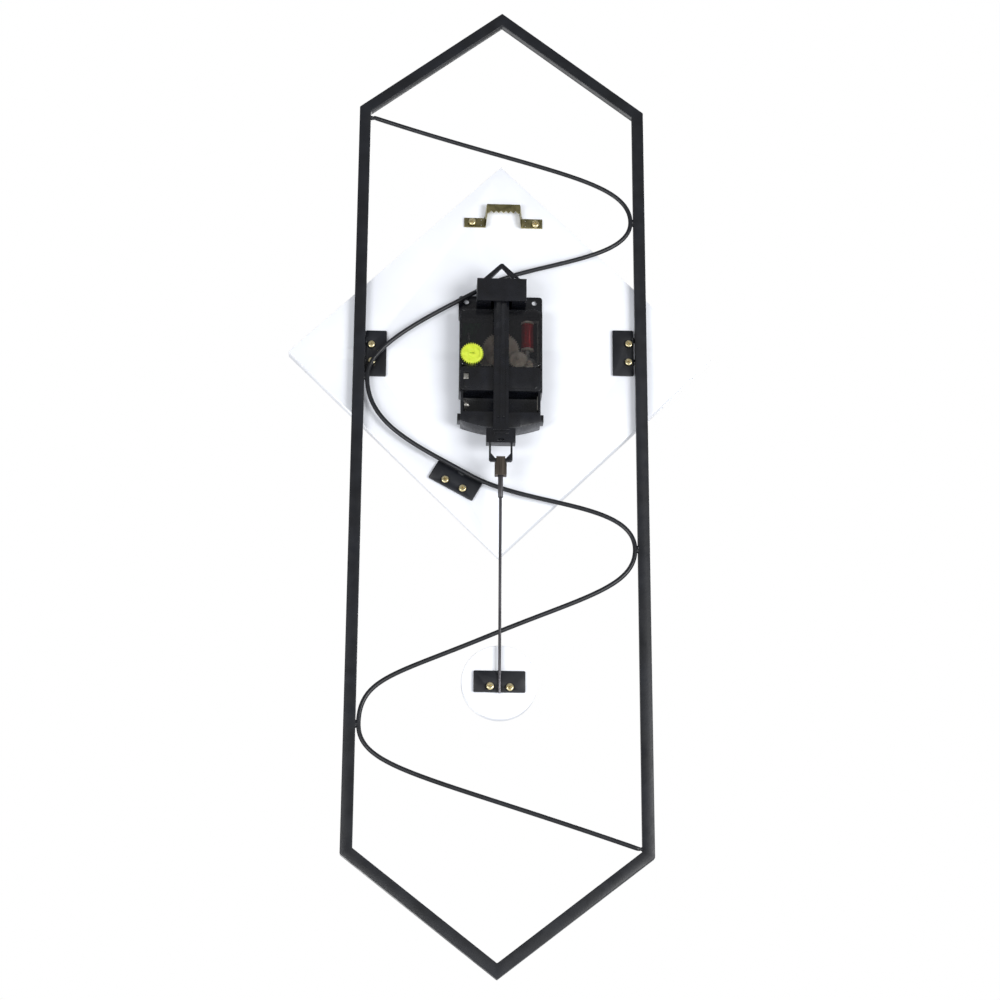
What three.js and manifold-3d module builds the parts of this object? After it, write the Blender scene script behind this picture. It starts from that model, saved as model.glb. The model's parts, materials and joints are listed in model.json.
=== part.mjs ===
// Pendulum wall clock: a welded hexagon frame with a bent scroll rod carries a square dial turned on its
// corner. A quartz pendulum movement sits behind the dial and a disc bob hangs below it.
//
// Millimetres. X runs right as seen from the front, +Y points back to the wall, +Z is up.
// Everything is placed from the frame's centre, with Y = 0 on the back of the dial panel, and the last
// lines move the whole clock so that the origin is the notch of the hanger strip that takes the nail.
import * as THREE from 'three';
import { mergeVertices } from 'three/addons/utils/BufferGeometryUtils.js';
import Module from 'manifold-3d';

const wasm = await Module();
wasm.setup();

// ---------------------------------------------------------------- driving dimensions
const gap = 0.3;              // between pieces that touch on the real clock
const frameWidth = 203;
const frameHeight = 700;
const apexRise = 79;          // from a side corner up to the top or bottom corner
const barWidth = 8;
const barDepth = 6;
const rodRadius = 1.55;       // scroll rod

const dialSide = 207;
const dialThickness = 9;
const dialBelowCorner = 189.8;           // hand shaft below the frame's upper side corners
const dialCentreZ = frameHeight / 2 - apexRise - dialBelowCorner;

const plateLength = 34;       // fixing plates: three on the dial, one on the bob
const plateWidth = 14.5;
const plateThickness = 1.5;
const plateScrewSpacing = 13.5;
const plateScrewInset = 3.4;  // screw line from the plate's centre line, away from the welded edge

const screwHeadRadius = 2.65;
const screwHeadHeight = 1.3;
const screwShankRadius = 1.2;
const screwLength = 6;
const bobScrewLength = 4.5;

const hangerAboveShaft = 109.6;
const hangerNotchZ = dialCentreZ + hangerAboveShaft;
const hangerHalfWidth = 27.6;
const hangerRaisedHalf = 12;
const hangerTabHeight = 7.2;
const hangerMetal = 0.8;
const hangerStandoff = 4;
const notchCount = 6;
const notchPitch = 3.4;
const notchDepth = 1.8;

const caseWidth = 57;         // movement
const caseDepth = 14.7;
const caseWall = 1.5;
const coverThickness = 1.5;
const batteryLength = 50.5;   // AA cell
const batteryDiameter = 14.5;
const bracketWidth = 34.1;
const bracketHeight = 16.8;
const bracketWall = 1.5;

const pivotZ = 40.5;          // above the hand shaft
const armClearance = 0.4;     // between the swinging arm and the movement's back
const armWidth = 10.3;
const armThickness = 4;
const armBlockWidth = 19.9;
const armBlockHeight = 10.7;
const hookInnerWidth = 13.2;
const hookBar = 1.35;
const hookCrossbar = 2.1;
const hookDrop = 13.2;

const pendulumRodRadius = 1;
const pendulumRodLength = 157.6;
const bobRadius = 25;
const bobThickness = 6;

const hourHandLength = 58;
const minuteHandLength = 84;
const secondHandLength = 88;
const bushingRadius = 4;

// ---------------------------------------------------------------- finishes
const finish = (color, roughness, metalness = 0, extra = {}) =>
  new THREE.MeshStandardMaterial({ color, roughness, metalness, ...extra });
const blackPaint = () => finish(0x1b1d21, 0.55, 0.2);
const blackPlastic = () => finish(0x1d1f23, 0.42);
const whiteLacquer = () => finish(0xf3f4f6, 0.35);
const brass = () => finish(0xb8923f, 0.3, 1);
const steel = () => finish(0x8d8a86, 0.4, 1);
const milkyPlastic = () => finish(0xd9d6cf, 0.45);
const copperWire = () => finish(0xb5303a, 0.3, 0.4);

// ---------------------------------------------------------------- geometry helpers
const degrees = THREE.MathUtils.degToRad;

// A closed manifold solid from a closed three.js geometry, and back.
function toSolid(geometry) {
  const bare = geometry.clone();
  bare.deleteAttribute('normal');
  bare.deleteAttribute('uv');
  const merged = mergeVertices(bare, 1e-4);
  return new wasm.Manifold(new wasm.Mesh({
    numProp: 3,
    vertProperties: new Float32Array(merged.attributes.position.array),
    triVerts: new Uint32Array(merged.index.array),
  }));
}

function toGeometry(solid) {
  const mesh = solid.getMesh();
  const geometry = new THREE.BufferGeometry();
  geometry.setAttribute('position', new THREE.BufferAttribute(new Float32Array(mesh.vertProperties), 3));
  geometry.setIndex(new THREE.BufferAttribute(new Uint32Array(mesh.triVerts), 1));
  return geometry;
}

const join = (first, ...others) =>
  toGeometry(others.reduce((sum, other) => sum.add(toSolid(other)), toSolid(first)));
const cut = (first, ...others) =>
  toGeometry(others.reduce((rest, other) => rest.subtract(toSolid(other)), toSolid(first)));
const common = (first, second) => toGeometry(toSolid(first).intersect(toSolid(second)));

const outline = (points) => new THREE.Shape(points.map(([x, z]) => new THREE.Vector2(x, z)));

// A flat piece: a shape drawn in X and Z, as seen from the front, between two depths in Y.
function slab(shape, frontY, backY, curveSegments = 12) {
  const geometry = new THREE.ExtrudeGeometry(shape, {
    depth: backY - frontY, bevelEnabled: false, steps: 1, curveSegments,
  });
  geometry.rotateX(Math.PI / 2);
  geometry.translate(0, backY, 0);
  return geometry;
}

function box(x0, x1, y0, y1, z0, z1) {
  const geometry = new THREE.BoxGeometry(x1 - x0, y1 - y0, z1 - z0);
  geometry.translate((x0 + x1) / 2, (y0 + y1) / 2, (z0 + z1) / 2);
  return geometry;
}

// A turned piece about a line along Y: profile points are [radius, y], from the front to the back.
function turned(profile, x = 0, z = 0, segments = 24) {
  const geometry = new THREE.LatheGeometry(profile.map(([r, y]) => new THREE.Vector2(r, y)), segments);
  geometry.translate(x, 0, z);
  return geometry;
}

const pin = (radius, frontY, backY, x = 0, z = 0, segments = 20) =>
  turned([[0, frontY], [radius, frontY], [radius, backY], [0, backY]], x, z, segments);

const tube = (outer, inner, frontY, backY, x = 0, z = 0, segments = 24) =>
  turned([[inner, frontY], [outer, frontY], [outer, backY], [inner, backY], [inner, frontY]], x, z, segments);

function roundedRectangle(width, height, radius, centreZ = 0) {
  const shape = new THREE.Shape();
  const x = width / 2;
  const low = centreZ - height / 2;
  const high = centreZ + height / 2;
  shape.moveTo(-x + radius, low);
  shape.lineTo(x - radius, low);
  shape.absarc(x - radius, low + radius, radius, -Math.PI / 2, 0);
  shape.lineTo(x, high - radius);
  shape.absarc(x - radius, high - radius, radius, 0, Math.PI / 2);
  shape.lineTo(-x + radius, high);
  shape.absarc(-x + radius, high - radius, radius, Math.PI / 2, Math.PI);
  shape.lineTo(-x, low + radius);
  shape.absarc(-x + radius, low + radius, radius, Math.PI, Math.PI * 1.5);
  return shape;
}

const clock = new THREE.Group();
function piece(name, geometry, material, parent = clock) {
  const mesh = new THREE.Mesh(geometry, material);
  mesh.name = name;
  parent.add(mesh);
  return mesh;
}

// ---------------------------------------------------------------- hexagon frame
const sideCornerZ = frameHeight / 2 - apexRise;
const barSlope = apexRise / (frameWidth / 2);
const innerHalfWidth = frameWidth / 2 - barWidth;
const innerApexZ = frameHeight / 2 - barWidth * Math.hypot(1, barSlope);
const innerCornerZ = innerApexZ - innerHalfWidth * barSlope;
const barFrontY = gap;
const barBackY = barFrontY + barDepth;

function hexagon(halfWidth, cornerZ, apexZ) {
  return [[0, apexZ], [halfWidth, cornerZ], [halfWidth, -cornerZ], [0, -apexZ],
    [-halfWidth, -cornerZ], [-halfWidth, cornerZ]].map(([x, z]) => new THREE.Vector2(x, z));
}

function frameBars() {
  const names = ['top_right_bar', 'right_rail', 'bottom_right_bar', 'bottom_left_bar', 'left_rail',
    'top_left_bar'];
  const outer = hexagon(frameWidth / 2, sideCornerZ, frameHeight / 2);
  const inner = hexagon(innerHalfWidth, innerCornerZ, innerApexZ);
  const mitreGap = 0.2;       // each bar's share of the gap at a welded mitre, along the bar
  names.forEach((name, i) => {
    const next = (i + 1) % names.length;
    const along = outer[next].clone().sub(outer[i]).normalize().multiplyScalar(mitreGap);
    const shape = new THREE.Shape([
      outer[i].clone().add(along), inner[i].clone().add(along),
      inner[next].clone().sub(along), outer[next].clone().sub(along),
    ]);
    piece(`frame_${name}`, slab(shape, barFrontY, barBackY), blackPaint());
  });
}

// ---------------------------------------------------------------- scroll rod
// One round rod bent into slants that turn back at the rails. Each bend touches a rail where the rod
// runs straight up and down; each slant is given by its middle point, its slope and its reach.
const rodY = 3 * gap + plateThickness + screwHeadHeight + rodRadius;   // it passes over the plates' screws
const bendX = innerHalfWidth - gap - rodRadius;
// the upper bends go with the dial, and the lower ones share what is left of the height below it
const thirdBendZ = dialCentreZ - 141.8;
const lowerStretch = (thirdBendZ + sideCornerZ) / 210.4;
const rodBends = [
  { side: -1, z: dialCentreZ + 102.2, reachAbove: 34, reachBelow: 30 },
  { side: 1, z: dialCentreZ - 18.8, reachAbove: 25, reachBelow: 36 },
  { side: -1, z: thirdBendZ, reachAbove: 34, reachBelow: 27 * lowerStretch },
  {
    side: 1, z: thirdBendZ - 124 * lowerStretch,
    reachAbove: 31 * lowerStretch, reachBelow: 30 * lowerStretch,
  },
];
const rodSlants = [
  { x: 9.6, z: dialCentreZ + 50.8, slope: 0.63, reach: 29 },
  { x: 20, z: dialCentreZ - 90.8, slope: 0.57, reach: 39 },
  { x: 7.3, z: thirdBendZ - 62.8 * lowerStretch, slope: 0.45 * lowerStretch, reach: 63 },
];
const rodTopEnd = { fromCornerZ: 4.7, reach: 121, slope: 0.34 };
const rodBottomEnd = { fromCornerZ: 1.8, reach: 139, slope: 0.34 * lowerStretch };

function scrollRodPath() {
  const at = (x, z) => new THREE.Vector3(x, rodY, z);
  const path = new THREE.CurvePath();
  const addCurve = (a, b, c, d) => path.add(new THREE.CubicBezierCurve3(a, b, c, d));
  const bendAt = ({ side, z }) => at(side * bendX, z);
  const topEnd = at(bendX, innerCornerZ - rodTopEnd.fromCornerZ);
  const bottomEnd = at(-bendX, -innerCornerZ + rodBottomEnd.fromCornerZ);
  const first = rodBends[0];
  const last = rodBends[rodBends.length - 1];

  addCurve(topEnd, at(bendX - rodTopEnd.reach, topEnd.z - rodTopEnd.reach * rodTopEnd.slope),
    at(-bendX, first.z + first.reachAbove), bendAt(first));
  rodSlants.forEach(({ x, z, slope, reach }, i) => {
    const above = rodBends[i];
    const below = rodBends[i + 1];
    const towards = below.side * reach;
    addCurve(bendAt(above), at(above.side * bendX, above.z - above.reachBelow),
      at(x - towards, z + slope * reach), at(x, z));
    addCurve(at(x, z), at(x + towards, z - slope * reach),
      at(below.side * bendX, below.z + below.reachAbove), bendAt(below));
  });
  addCurve(bendAt(last), at(bendX, last.z - last.reachBelow),
    at(-bendX + rodBottomEnd.reach, bottomEnd.z + rodBottomEnd.reach * rodBottomEnd.slope), bottomEnd);
  return path;
}

const roundSection = (radius, sides) => {
  const angles = Array.from({ length: sides }, (_, k) => 2 * Math.PI * k / sides);
  return outline(angles.map((angle) => [radius * Math.cos(angle), radius * Math.sin(angle)]));
};

function scrollRod() {
  const geometry = new THREE.ExtrudeGeometry(roundSection(rodRadius, 8), {
    extrudePath: scrollRodPath(), steps: 200, bevelEnabled: false,
  });
  piece('scroll_rod', geometry, blackPaint());
}

// ---------------------------------------------------------------- screws and fixing plates
const plateHoleRadius = screwShankRadius + 0.35;
const pilotRadius = screwShankRadius + gap;

// A pan-head wood screw driven towards -Y, with its head seated a gap off the surface.
function screw(name, x, surfaceY, z, length, parent = clock) {
  const seat = surfaceY + gap;
  piece(name, turned([
    [0, seat - length], [screwShankRadius, seat - length + 2], [screwShankRadius, seat],
    [screwHeadRadius, seat], [screwHeadRadius, seat + 0.45 * screwHeadHeight],
    [0.6 * screwHeadRadius, seat + screwHeadHeight], [0, seat + screwHeadHeight],
  ], x, z, 14), brass(), parent);
}

// The plate's frame: its long side along its own x, the screw line on the side of its own -z.
const plateScrews = [-plateScrewSpacing / 2, plateScrewSpacing / 2];
function plateShape() {
  const [x, z, snip] = [plateLength / 2, plateWidth / 2, 0.6];
  const shape = outline([[-x + snip, -z], [x - snip, -z], [x, -z + snip], [x, z - snip],
    [x - snip, z], [-x + snip, z], [-x, z - snip], [-x, -z + snip]]);
  plateScrews.forEach((x) => {
    const hole = new THREE.Path();
    hole.absarc(x, -plateScrewInset, plateHoleRadius, 0, 2 * Math.PI);
    shape.holes.push(hole);
  });
  return shape;
}

// x, z: the plate's centre on the dial. turn: its long side from the X axis, in degrees, seen from the front.
const dialPlates = [
  { name: 'left', x: -innerHalfWidth + 0.9 + plateWidth / 2, z: dialCentreZ + 3.5, turn: -90 },
  { name: 'right', x: innerHalfWidth - gap - plateWidth / 2, z: dialCentreZ - 0.5, turn: 90 },
  { name: 'middle', x: 30, z: dialCentreZ - 93.2, turn: 29 },
];
const dialScrewPlaces = [];

function fixingPlates() {
  const plateFrontY = gap;
  dialPlates.forEach(({ name, x, z, turn }) => {
    const angle = degrees(turn);
    const geometry = slab(plateShape(), plateFrontY, plateFrontY + plateThickness, 6);
    geometry.rotateY(-angle);
    geometry.translate(x, 0, z);
    piece(`plate_${name}`, geometry, blackPaint());
    plateScrews.forEach((along, i) => {
      const screwX = x + along * Math.cos(angle) + plateScrewInset * Math.sin(angle);
      const screwZ = z + along * Math.sin(angle) - plateScrewInset * Math.cos(angle);
      dialScrewPlaces.push([screwX, screwZ]);
      screw(`plate_screw_${name}_${i + 1}`, screwX, plateFrontY + plateThickness, screwZ, screwLength);
    });
  });
}

// ---------------------------------------------------------------- hanger strip
const hangerCentreX = -notchPitch / 2;   // sets one notch on the middle of the clock
const hangerFrontY = gap;
const hangerBackY = hangerFrontY + hangerStandoff + hangerMetal;
const hangerLegRun = 1.2;
const hangerFootHalf = hangerRaisedHalf + hangerLegRun;
const hangerScrewX = 22.6;
const hangerScrewZ = hangerNotchZ - 7.8;
const hangerPlateAboveNotch = 5;
const toothTipZ = hangerNotchZ - notchDepth;

// The teeth from the +X end of the raised part to the -X end, with a tip at each side of every notch.
function toothLine() {
  const points = [];
  for (let k = notchCount - 1; k >= 0; k -= 1) {
    const x = (k - (notchCount - 1) / 2) * notchPitch;
    points.push([x + notchPitch / 2, toothTipZ], [x, hangerNotchZ]);
  }
  return [...points, [-notchCount * notchPitch / 2, toothTipZ]];
}

function hangerStrip() {
  const low = hangerFrontY;
  const tabTop = low + hangerMetal;
  const raised = low + hangerStandoff;
  const [half, raisedHalf, footHalf] = [hangerHalfWidth, hangerRaisedHalf, hangerFootHalf];
  // the bent strip seen from above: tabs on the dial, two steep legs, and the raised middle
  const bent = [
    [-half, low], [-footHalf + hangerMetal, low], [-raisedHalf + hangerMetal, raised],
    [raisedHalf - hangerMetal, raised], [footHalf - hangerMetal, low], [half, low],
    [half, tabTop], [footHalf, tabTop], [raisedHalf, hangerBackY],
    [-raisedHalf, hangerBackY], [-footHalf, tabTop], [-half, tabTop],
  ];
  const tabLowZ = hangerScrewZ - hangerTabHeight / 2;
  const tabHighZ = hangerScrewZ + hangerTabHeight / 2;
  const stripTopZ = hangerNotchZ + hangerPlateAboveNotch;
  const strip = new THREE.ExtrudeGeometry(outline(bent), { depth: stripTopZ - tabLowZ, bevelEnabled: false });
  strip.translate(0, 0, tabLowZ);

  // the flat blank's outline, in which each leg slants down to its tab
  const legTop = raisedHalf - 0.3;
  const legFoot = footHalf + 0.3;
  const silhouette = outline([
    [-half, tabLowZ], [-half, tabHighZ], [-legFoot, tabHighZ], [-legTop, stripTopZ],
    [legTop, stripTopZ], [legFoot, tabHighZ], [half, tabHighZ], [half, tabLowZ],
    [footHalf - hangerMetal, tabLowZ], [raisedHalf - hangerMetal, toothTipZ], ...toothLine(),
    [-raisedHalf + hangerMetal, toothTipZ], [-footHalf + hangerMetal, tabLowZ],
  ]);
  let geometry = common(strip, slab(silhouette, low - 1, hangerBackY + 1));
  [-hangerScrewX, hangerScrewX].forEach((x, i) => {
    geometry = cut(geometry, pin(plateHoleRadius, low - 1, tabTop + 1, x, hangerScrewZ, 14));
    dialScrewPlaces.push([hangerCentreX + x, hangerScrewZ]);
    screw(`hanger_screw_${i + 1}`, hangerCentreX + x, tabTop, hangerScrewZ, screwLength);
  });
  geometry.translate(hangerCentreX, 0, 0);
  piece('sawtooth_hanger', geometry, brass());
}

// ---------------------------------------------------------------- dial panel
const dialHoleRadius = bushingRadius + 0.3;

function dialPanel() {
  const half = dialSide / Math.SQRT2;
  const [lowZ, highZ] = [dialCentreZ - half, dialCentreZ + half];
  const square = outline([[0, lowZ], [half, dialCentreZ], [0, highZ], [-half, dialCentreZ]]);
  const pilotDepth = screwLength + 1;
  const shaftHole = pin(dialHoleRadius, -dialThickness - 1, 1, 0, dialCentreZ);
  let geometry = cut(slab(square, -dialThickness, 0), shaftHole);
  dialScrewPlaces.forEach(([x, z]) => {
    geometry = cut(geometry, pin(pilotRadius, -pilotDepth, 1, x, z, 8));
  });
  piece('dial_panel', geometry, whiteLacquer());
}

// ---------------------------------------------------------------- places of the arbors
const polar = (from, angle, distance) =>
  ({ x: from.x + distance * Math.cos(angle), z: from.z + distance * Math.sin(angle) });
const centreDistance = ({ pinion, wheel, module }) => (pinion + wheel) * module / 2;

// Tooth numbers and modules of the meshes, from the rotor to the hour hand, and the setting pinion. Two
// meshes between the same pair of arbors share their centre distance, which gives the second one's module.
function shareDistance(mesh, pinion, wheel) {
  return mesh.module * (mesh.pinion + mesh.wheel) / (pinion + wheel);
}

const rotorMesh = { pinion: 6, wheel: 24, module: 0.53 };
const fifthMesh = { pinion: 6, wheel: 45, module: 0.56 };
const secondMesh = { pinion: 6, wheel: 45, module: 0.48 };
const thirdMesh = { pinion: 6, wheel: 48, module: shareDistance(secondMesh, 6, 48) };
const cannonMesh = { pinion: 8, wheel: 24, module: 0.6 };
const minuteMesh = { pinion: 8, wheel: 32, module: shareDistance(cannonMesh, 8, 32) };
const settingMesh = { pinion: 14, wheel: cannonMesh.wheel, module: cannonMesh.module };

const shaftCentre = { x: 0, z: 0 };
const fifthAngle = degrees(213);
const fifthCentre = polar(shaftCentre, fifthAngle, centreDistance(fifthMesh));
const rotorAngle = degrees(198);
const rotorCentre = polar(fifthCentre, rotorAngle, centreDistance(rotorMesh));
const thirdAngle = degrees(60);
const thirdCentre = polar(shaftCentre, thirdAngle, centreDistance(thirdMesh));
const settingAngle = degrees(-18);
const minuteCentre = polar(shaftCentre, settingAngle, centreDistance(cannonMesh));
const settingCentre = polar(minuteCentre, settingAngle, centreDistance(settingMesh));
const settingShaftRadius = 1.3;

// ---------------------------------------------------------------- movement case
// Movement pieces are placed from the hand shaft: X = 0, Z = 0 on the shaft, inside this group.
const movement = new THREE.Group();
movement.position.z = dialCentreZ;
clock.add(movement);

const caseFrontY = gap;
const caseBackY = caseFrontY + caseDepth;
const coverBackY = caseBackY + gap + coverThickness;
const panelRise = 0.8;
const floorY = caseFrontY + caseWall;
const caseTopZ = 28.7;
const coverSplitZ = -15.2;              // clear cover above, black panel below
const batteryRoomTopZ = -32.9;
const batteryRoomLowZ = batteryRoomTopZ - batteryDiameter - 0.5;
const caseSideLowZ = batteryRoomLowZ - 6.9;
const caseLowZ = caseSideLowZ - 5.2;
const lowerHalfWidth = batteryLength / 2 + 0.5 + caseWall;
const flangeTopZ = 44.2;
const flangeThickness = 1.6;
const flangeOverhang = 0.6;             // wider than the case by this much on each side
const flangeHoleX = 23.8;
const flangeHoleInset = 4.4;
const flangeHoleRadius = 1.9;
const armFrontY = coverBackY + panelRise + armClearance;
const armBackY = armFrontY + armThickness;
const coilRoomHalf = 16;
const coilRoomHeight = 7.5;

// The body's outline: square shoulders, a step in at the battery room, and a bowed foot.
function caseOutline() {
  const half = caseWidth / 2;
  const snip = 2;
  const body = new THREE.Shape();
  body.moveTo(-half + snip, caseTopZ);
  body.lineTo(half - snip, caseTopZ);
  body.lineTo(half, caseTopZ - snip);
  body.lineTo(half, batteryRoomTopZ);
  body.lineTo(lowerHalfWidth, batteryRoomTopZ - 1);
  body.lineTo(lowerHalfWidth, caseSideLowZ);
  body.quadraticCurveTo(0, 2 * caseLowZ - caseSideLowZ, -lowerHalfWidth, caseSideLowZ);
  body.lineTo(-lowerHalfWidth, batteryRoomTopZ - 1);
  body.lineTo(-half, batteryRoomTopZ);
  body.lineTo(-half, caseTopZ - snip);
  return body;
}

function movementCase() {
  const half = caseWidth / 2;
  const body = slab(caseOutline(), caseFrontY, caseBackY);
  const flangeLap = 4;        // how far the flange runs down into the body
  const flange = slab(roundedRectangle(caseWidth + 2 * flangeOverhang, flangeTopZ - caseTopZ + flangeLap, 2,
    (flangeTopZ + caseTopZ - flangeLap) / 2), caseFrontY, caseFrontY + flangeThickness, 4);
  const lugReach = lowerHalfWidth + 2.2;
  const lugs = box(-lugReach, lugReach, 4, caseBackY - 3, caseSideLowZ + 1.4, batteryRoomLowZ - 0.6);
  // the lip below the battery room stands up on the side of the drive coil, and stops short of the far end
  const platformEndX = -13.5;
  const platform = common(slab(caseOutline(), caseBackY - 1, caseBackY + panelRise),
    box(platformEndX, half, 0, 30, caseLowZ, batteryRoomLowZ - 0.9));
  const filled = join(body, flange, lugs, platform);

  const beyond = caseBackY + 5;
  const gearRoom = box(-half + caseWall, half - caseWall, floorY, beyond,
    batteryRoomTopZ + caseWall, caseTopZ - caseWall);
  const batteryRoom = box(-lowerHalfWidth + caseWall, lowerHalfWidth - caseWall, floorY, beyond,
    batteryRoomLowZ, batteryRoomTopZ);
  const coilRoomTopZ = batteryRoomLowZ - caseWall;
  const coilRoom = box(-coilRoomHalf, coilRoomHalf, -1, caseBackY - caseWall,
    coilRoomTopZ - coilRoomHeight, coilRoomTopZ);
  const flangeHoles = [-1, 1].map((side) =>
    pin(flangeHoleRadius, -1, 4, side * flangeHoleX, flangeTopZ - flangeHoleInset, 18));
  const bushingHole = pin(dialHoleRadius, -1, floorY + 1, 0, 0);
  piece('movement_case', cut(filled, gearRoom, batteryRoom, coilRoom, bushingHole, ...flangeHoles),
    blackPlastic(), movement);
}

function movementCovers() {
  const width = caseWidth - 1.6;
  const coverFrontY = caseBackY + gap;
  const clearHeight = caseTopZ - 0.8 - coverSplitZ - gap;
  const cover = slab(roundedRectangle(width, clearHeight, 4, coverSplitZ + gap + clearHeight / 2),
    coverFrontY, coverBackY, 5);
  const shaftHole = pin(settingShaftRadius + gap, 0, 30, settingCentre.x, settingCentre.z, 14);
  piece('movement_cover', cut(cover, shaftHole),
    finish(0x3a3d42, 0.12, 0, { transparent: true, opacity: 0.35 }), movement);

  const panelHeight = coverSplitZ - batteryRoomTopZ;
  const panelZ = coverSplitZ - panelHeight / 2;
  const panel = slab(roundedRectangle(width, panelHeight, 3, panelZ), coverFrontY, coverBackY, 4);
  const raisedPad = slab(roundedRectangle(width - 5, panelHeight - 3, 3, panelZ),
    coverFrontY, coverBackY + panelRise, 4);
  const window = box(21.8, 25.6, 0, 30, -25, -20);
  piece('terminal_panel', cut(join(panel, raisedPad), window), blackPlastic(), movement);
}

// ---------------------------------------------------------------- hanger bracket
const bracketFrontY = rodY + rodRadius + gap;
const bracketBackY = armBackY + 2.5 + bracketWall;
const bracketLowZ = 30.3;
const bracketTopZ = bracketLowZ + bracketHeight;
const armSlotHalf = 7.2;
const loopFrontY = bracketBackY - 4.5;
const loopBackY = loopFrontY + 2.5;
const loopRise = 12.2;
const loopHalfBase = 13.4;
const loopOpening = { halfBase: 8.2, height: loopRise - 3.1 };
const pivotPinRadius = 1;

function hangerBracket() {
  const half = bracketWidth / 2;
  const footFrontY = caseFrontY + flangeThickness + gap;
  const foot = box(-half, half, footFrontY, bracketFrontY + 1, bracketLowZ, flangeTopZ - 0.6);
  const shell = box(-half, half, bracketFrontY, bracketBackY, bracketLowZ, bracketTopZ);
  const loop = outline([[-loopHalfBase, bracketTopZ - 1], [loopHalfBase, bracketTopZ - 1],
    [loopHalfBase, bracketTopZ], [0.8, bracketTopZ + loopRise], [-0.8, bracketTopZ + loopRise],
    [-loopHalfBase, bracketTopZ]]);
  const opening = outline([[-loopOpening.halfBase, bracketTopZ], [loopOpening.halfBase, bracketTopZ],
    [0, bracketTopZ + loopOpening.height]]);
  const insideFrontY = bracketFrontY + bracketWall;
  const insideBackY = bracketBackY - bracketWall;
  const hollow = box(-half + bracketWall, half - bracketWall, insideFrontY, insideBackY,
    bracketLowZ + bracketWall, bracketTopZ - bracketWall);
  const armSlot = box(-armSlotHalf, armSlotHalf, insideFrontY, insideBackY, bracketLowZ - 2, bracketTopZ - 4);
  const pinSocket = pin(pivotPinRadius + gap, bracketFrontY + 0.6, bracketBackY - 0.7, 0, pivotZ, 14);
  const eyelet = pin(0.8, loopFrontY - 1, loopBackY + 1, -9.3, bracketTopZ + 1.3, 10);
  const filled = join(foot, shell, slab(loop, loopFrontY, loopBackY));
  piece('hanger_bracket', cut(filled, hollow, armSlot, pinSocket, eyelet,
    slab(opening, loopFrontY - 1, loopBackY + 1)), blackPlastic(), movement);
  const pivotPin = pin(pivotPinRadius, bracketFrontY + 0.9, bracketBackY - 1, 0, pivotZ, 16);
  piece('pivot_pin', pivotPin, steel(), movement);
}

// ---------------------------------------------------------------- gears
// Teeth with straight flanks through the involute's points at the root, pitch and tip circles.
const backlash = 0.3;         // in modules, taken off each tooth at the pitch circle
const addendum = 0.85;
const dedendum = 1.15;

function gearShape(teeth, module, toothAngle, boreRadius = 0, boreSegments = 20) {
  const pitch = teeth * module / 2;
  const base = pitch * Math.cos(degrees(20));
  const involute = (radius) => {
    const angle = Math.acos(Math.min(1, base / radius));
    return Math.tan(angle) - angle;
  };
  const halfAtPitch = Math.PI / (2 * teeth) - backlash * module / (2 * pitch);
  const halfAt = (radius) => halfAtPitch + involute(pitch) - involute(radius);
  const radii = teeth < 16
    ? [pitch - dedendum * module, pitch, pitch + addendum * module]
    : [pitch - dedendum * module, pitch + addendum * module];
  const points = [];
  for (let k = 0; k < teeth; k += 1) {
    const centre = toothAngle + 2 * Math.PI * k / teeth;
    const add = (radius, side) => {
      const angle = centre + side * halfAt(radius);
      points.push([radius * Math.cos(angle), radius * Math.sin(angle)]);
    };
    radii.forEach((radius) => add(radius, -1));
    [...radii].reverse().forEach((radius) => add(radius, 1));
  }
  const shape = outline(points);
  if (boreRadius > 0) {
    const bore = new THREE.Path();
    bore.absarc(0, 0, boreRadius, 0, 2 * Math.PI);
    shape.holes.push(bore);
  }
  return shape;
}

// The level of each wheel along the shaft, from the case floor to the cover, as front and back faces.
const level = {
  hourWheel: [floorY + 0.6, floorY + 1.6],
  minuteWheel: [floorY + 2.3, floorY + 3.3],
  centreWheel: [floorY + 3.9, floorY + 4.9],
  thirdWheel: [floorY + 5.7, floorY + 6.7],
  secondWheel: [floorY + 7.9, floorY + 8.9],
  fifthWheel: [floorY + 9.9, floorY + 10.8],
};
const pinionLap = 0.2;        // a pinion stands past the wheel it drives by this much on each side
const arborEndY = caseBackY - gap;

const secondShaftRadius = 0.55;
const cannonTube = { outer: 1.6, inner: 0.9 };
const hourTube = { outer: 2.5, inner: 1.95 };
const dialFrontY = -dialThickness;
const hourHandY = dialFrontY - 5.4;
const minuteHandY = hourHandY - 1.8;
const secondHandY = minuteHandY - 1.8;
const handThickness = 0.5;
const halfPitch = (teeth) => Math.PI / teeth;

function placedGear(teeth, module, toothAngle, [frontY, backY], centre, bore = 0) {
  const geometry = slab(gearShape(teeth, module, toothAngle, bore), frontY, backY, 8);
  geometry.translate(centre.x, 0, centre.z);
  return geometry;
}

// In a mesh the wheel shows a tooth towards its partner and the pinion shows a space. towards is the
// direction from each to the other.
const wheelOf = (mesh, towards, levels, centre, bore) =>
  placedGear(mesh.wheel, mesh.module, towards, levels, centre, bore);

function pinionOf(mesh, towards, [frontY, backY], centre) {
  const levels = [frontY - pinionLap, backY + pinionLap];
  return placedGear(mesh.pinion, mesh.module, towards + halfPitch(mesh.pinion), levels, centre);
}

function arborAt({ x, z }, backY = arborEndY) {
  const radius = 0.6;
  return pin(radius, floorY + gap, backY, x, z, 10);
}

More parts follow.
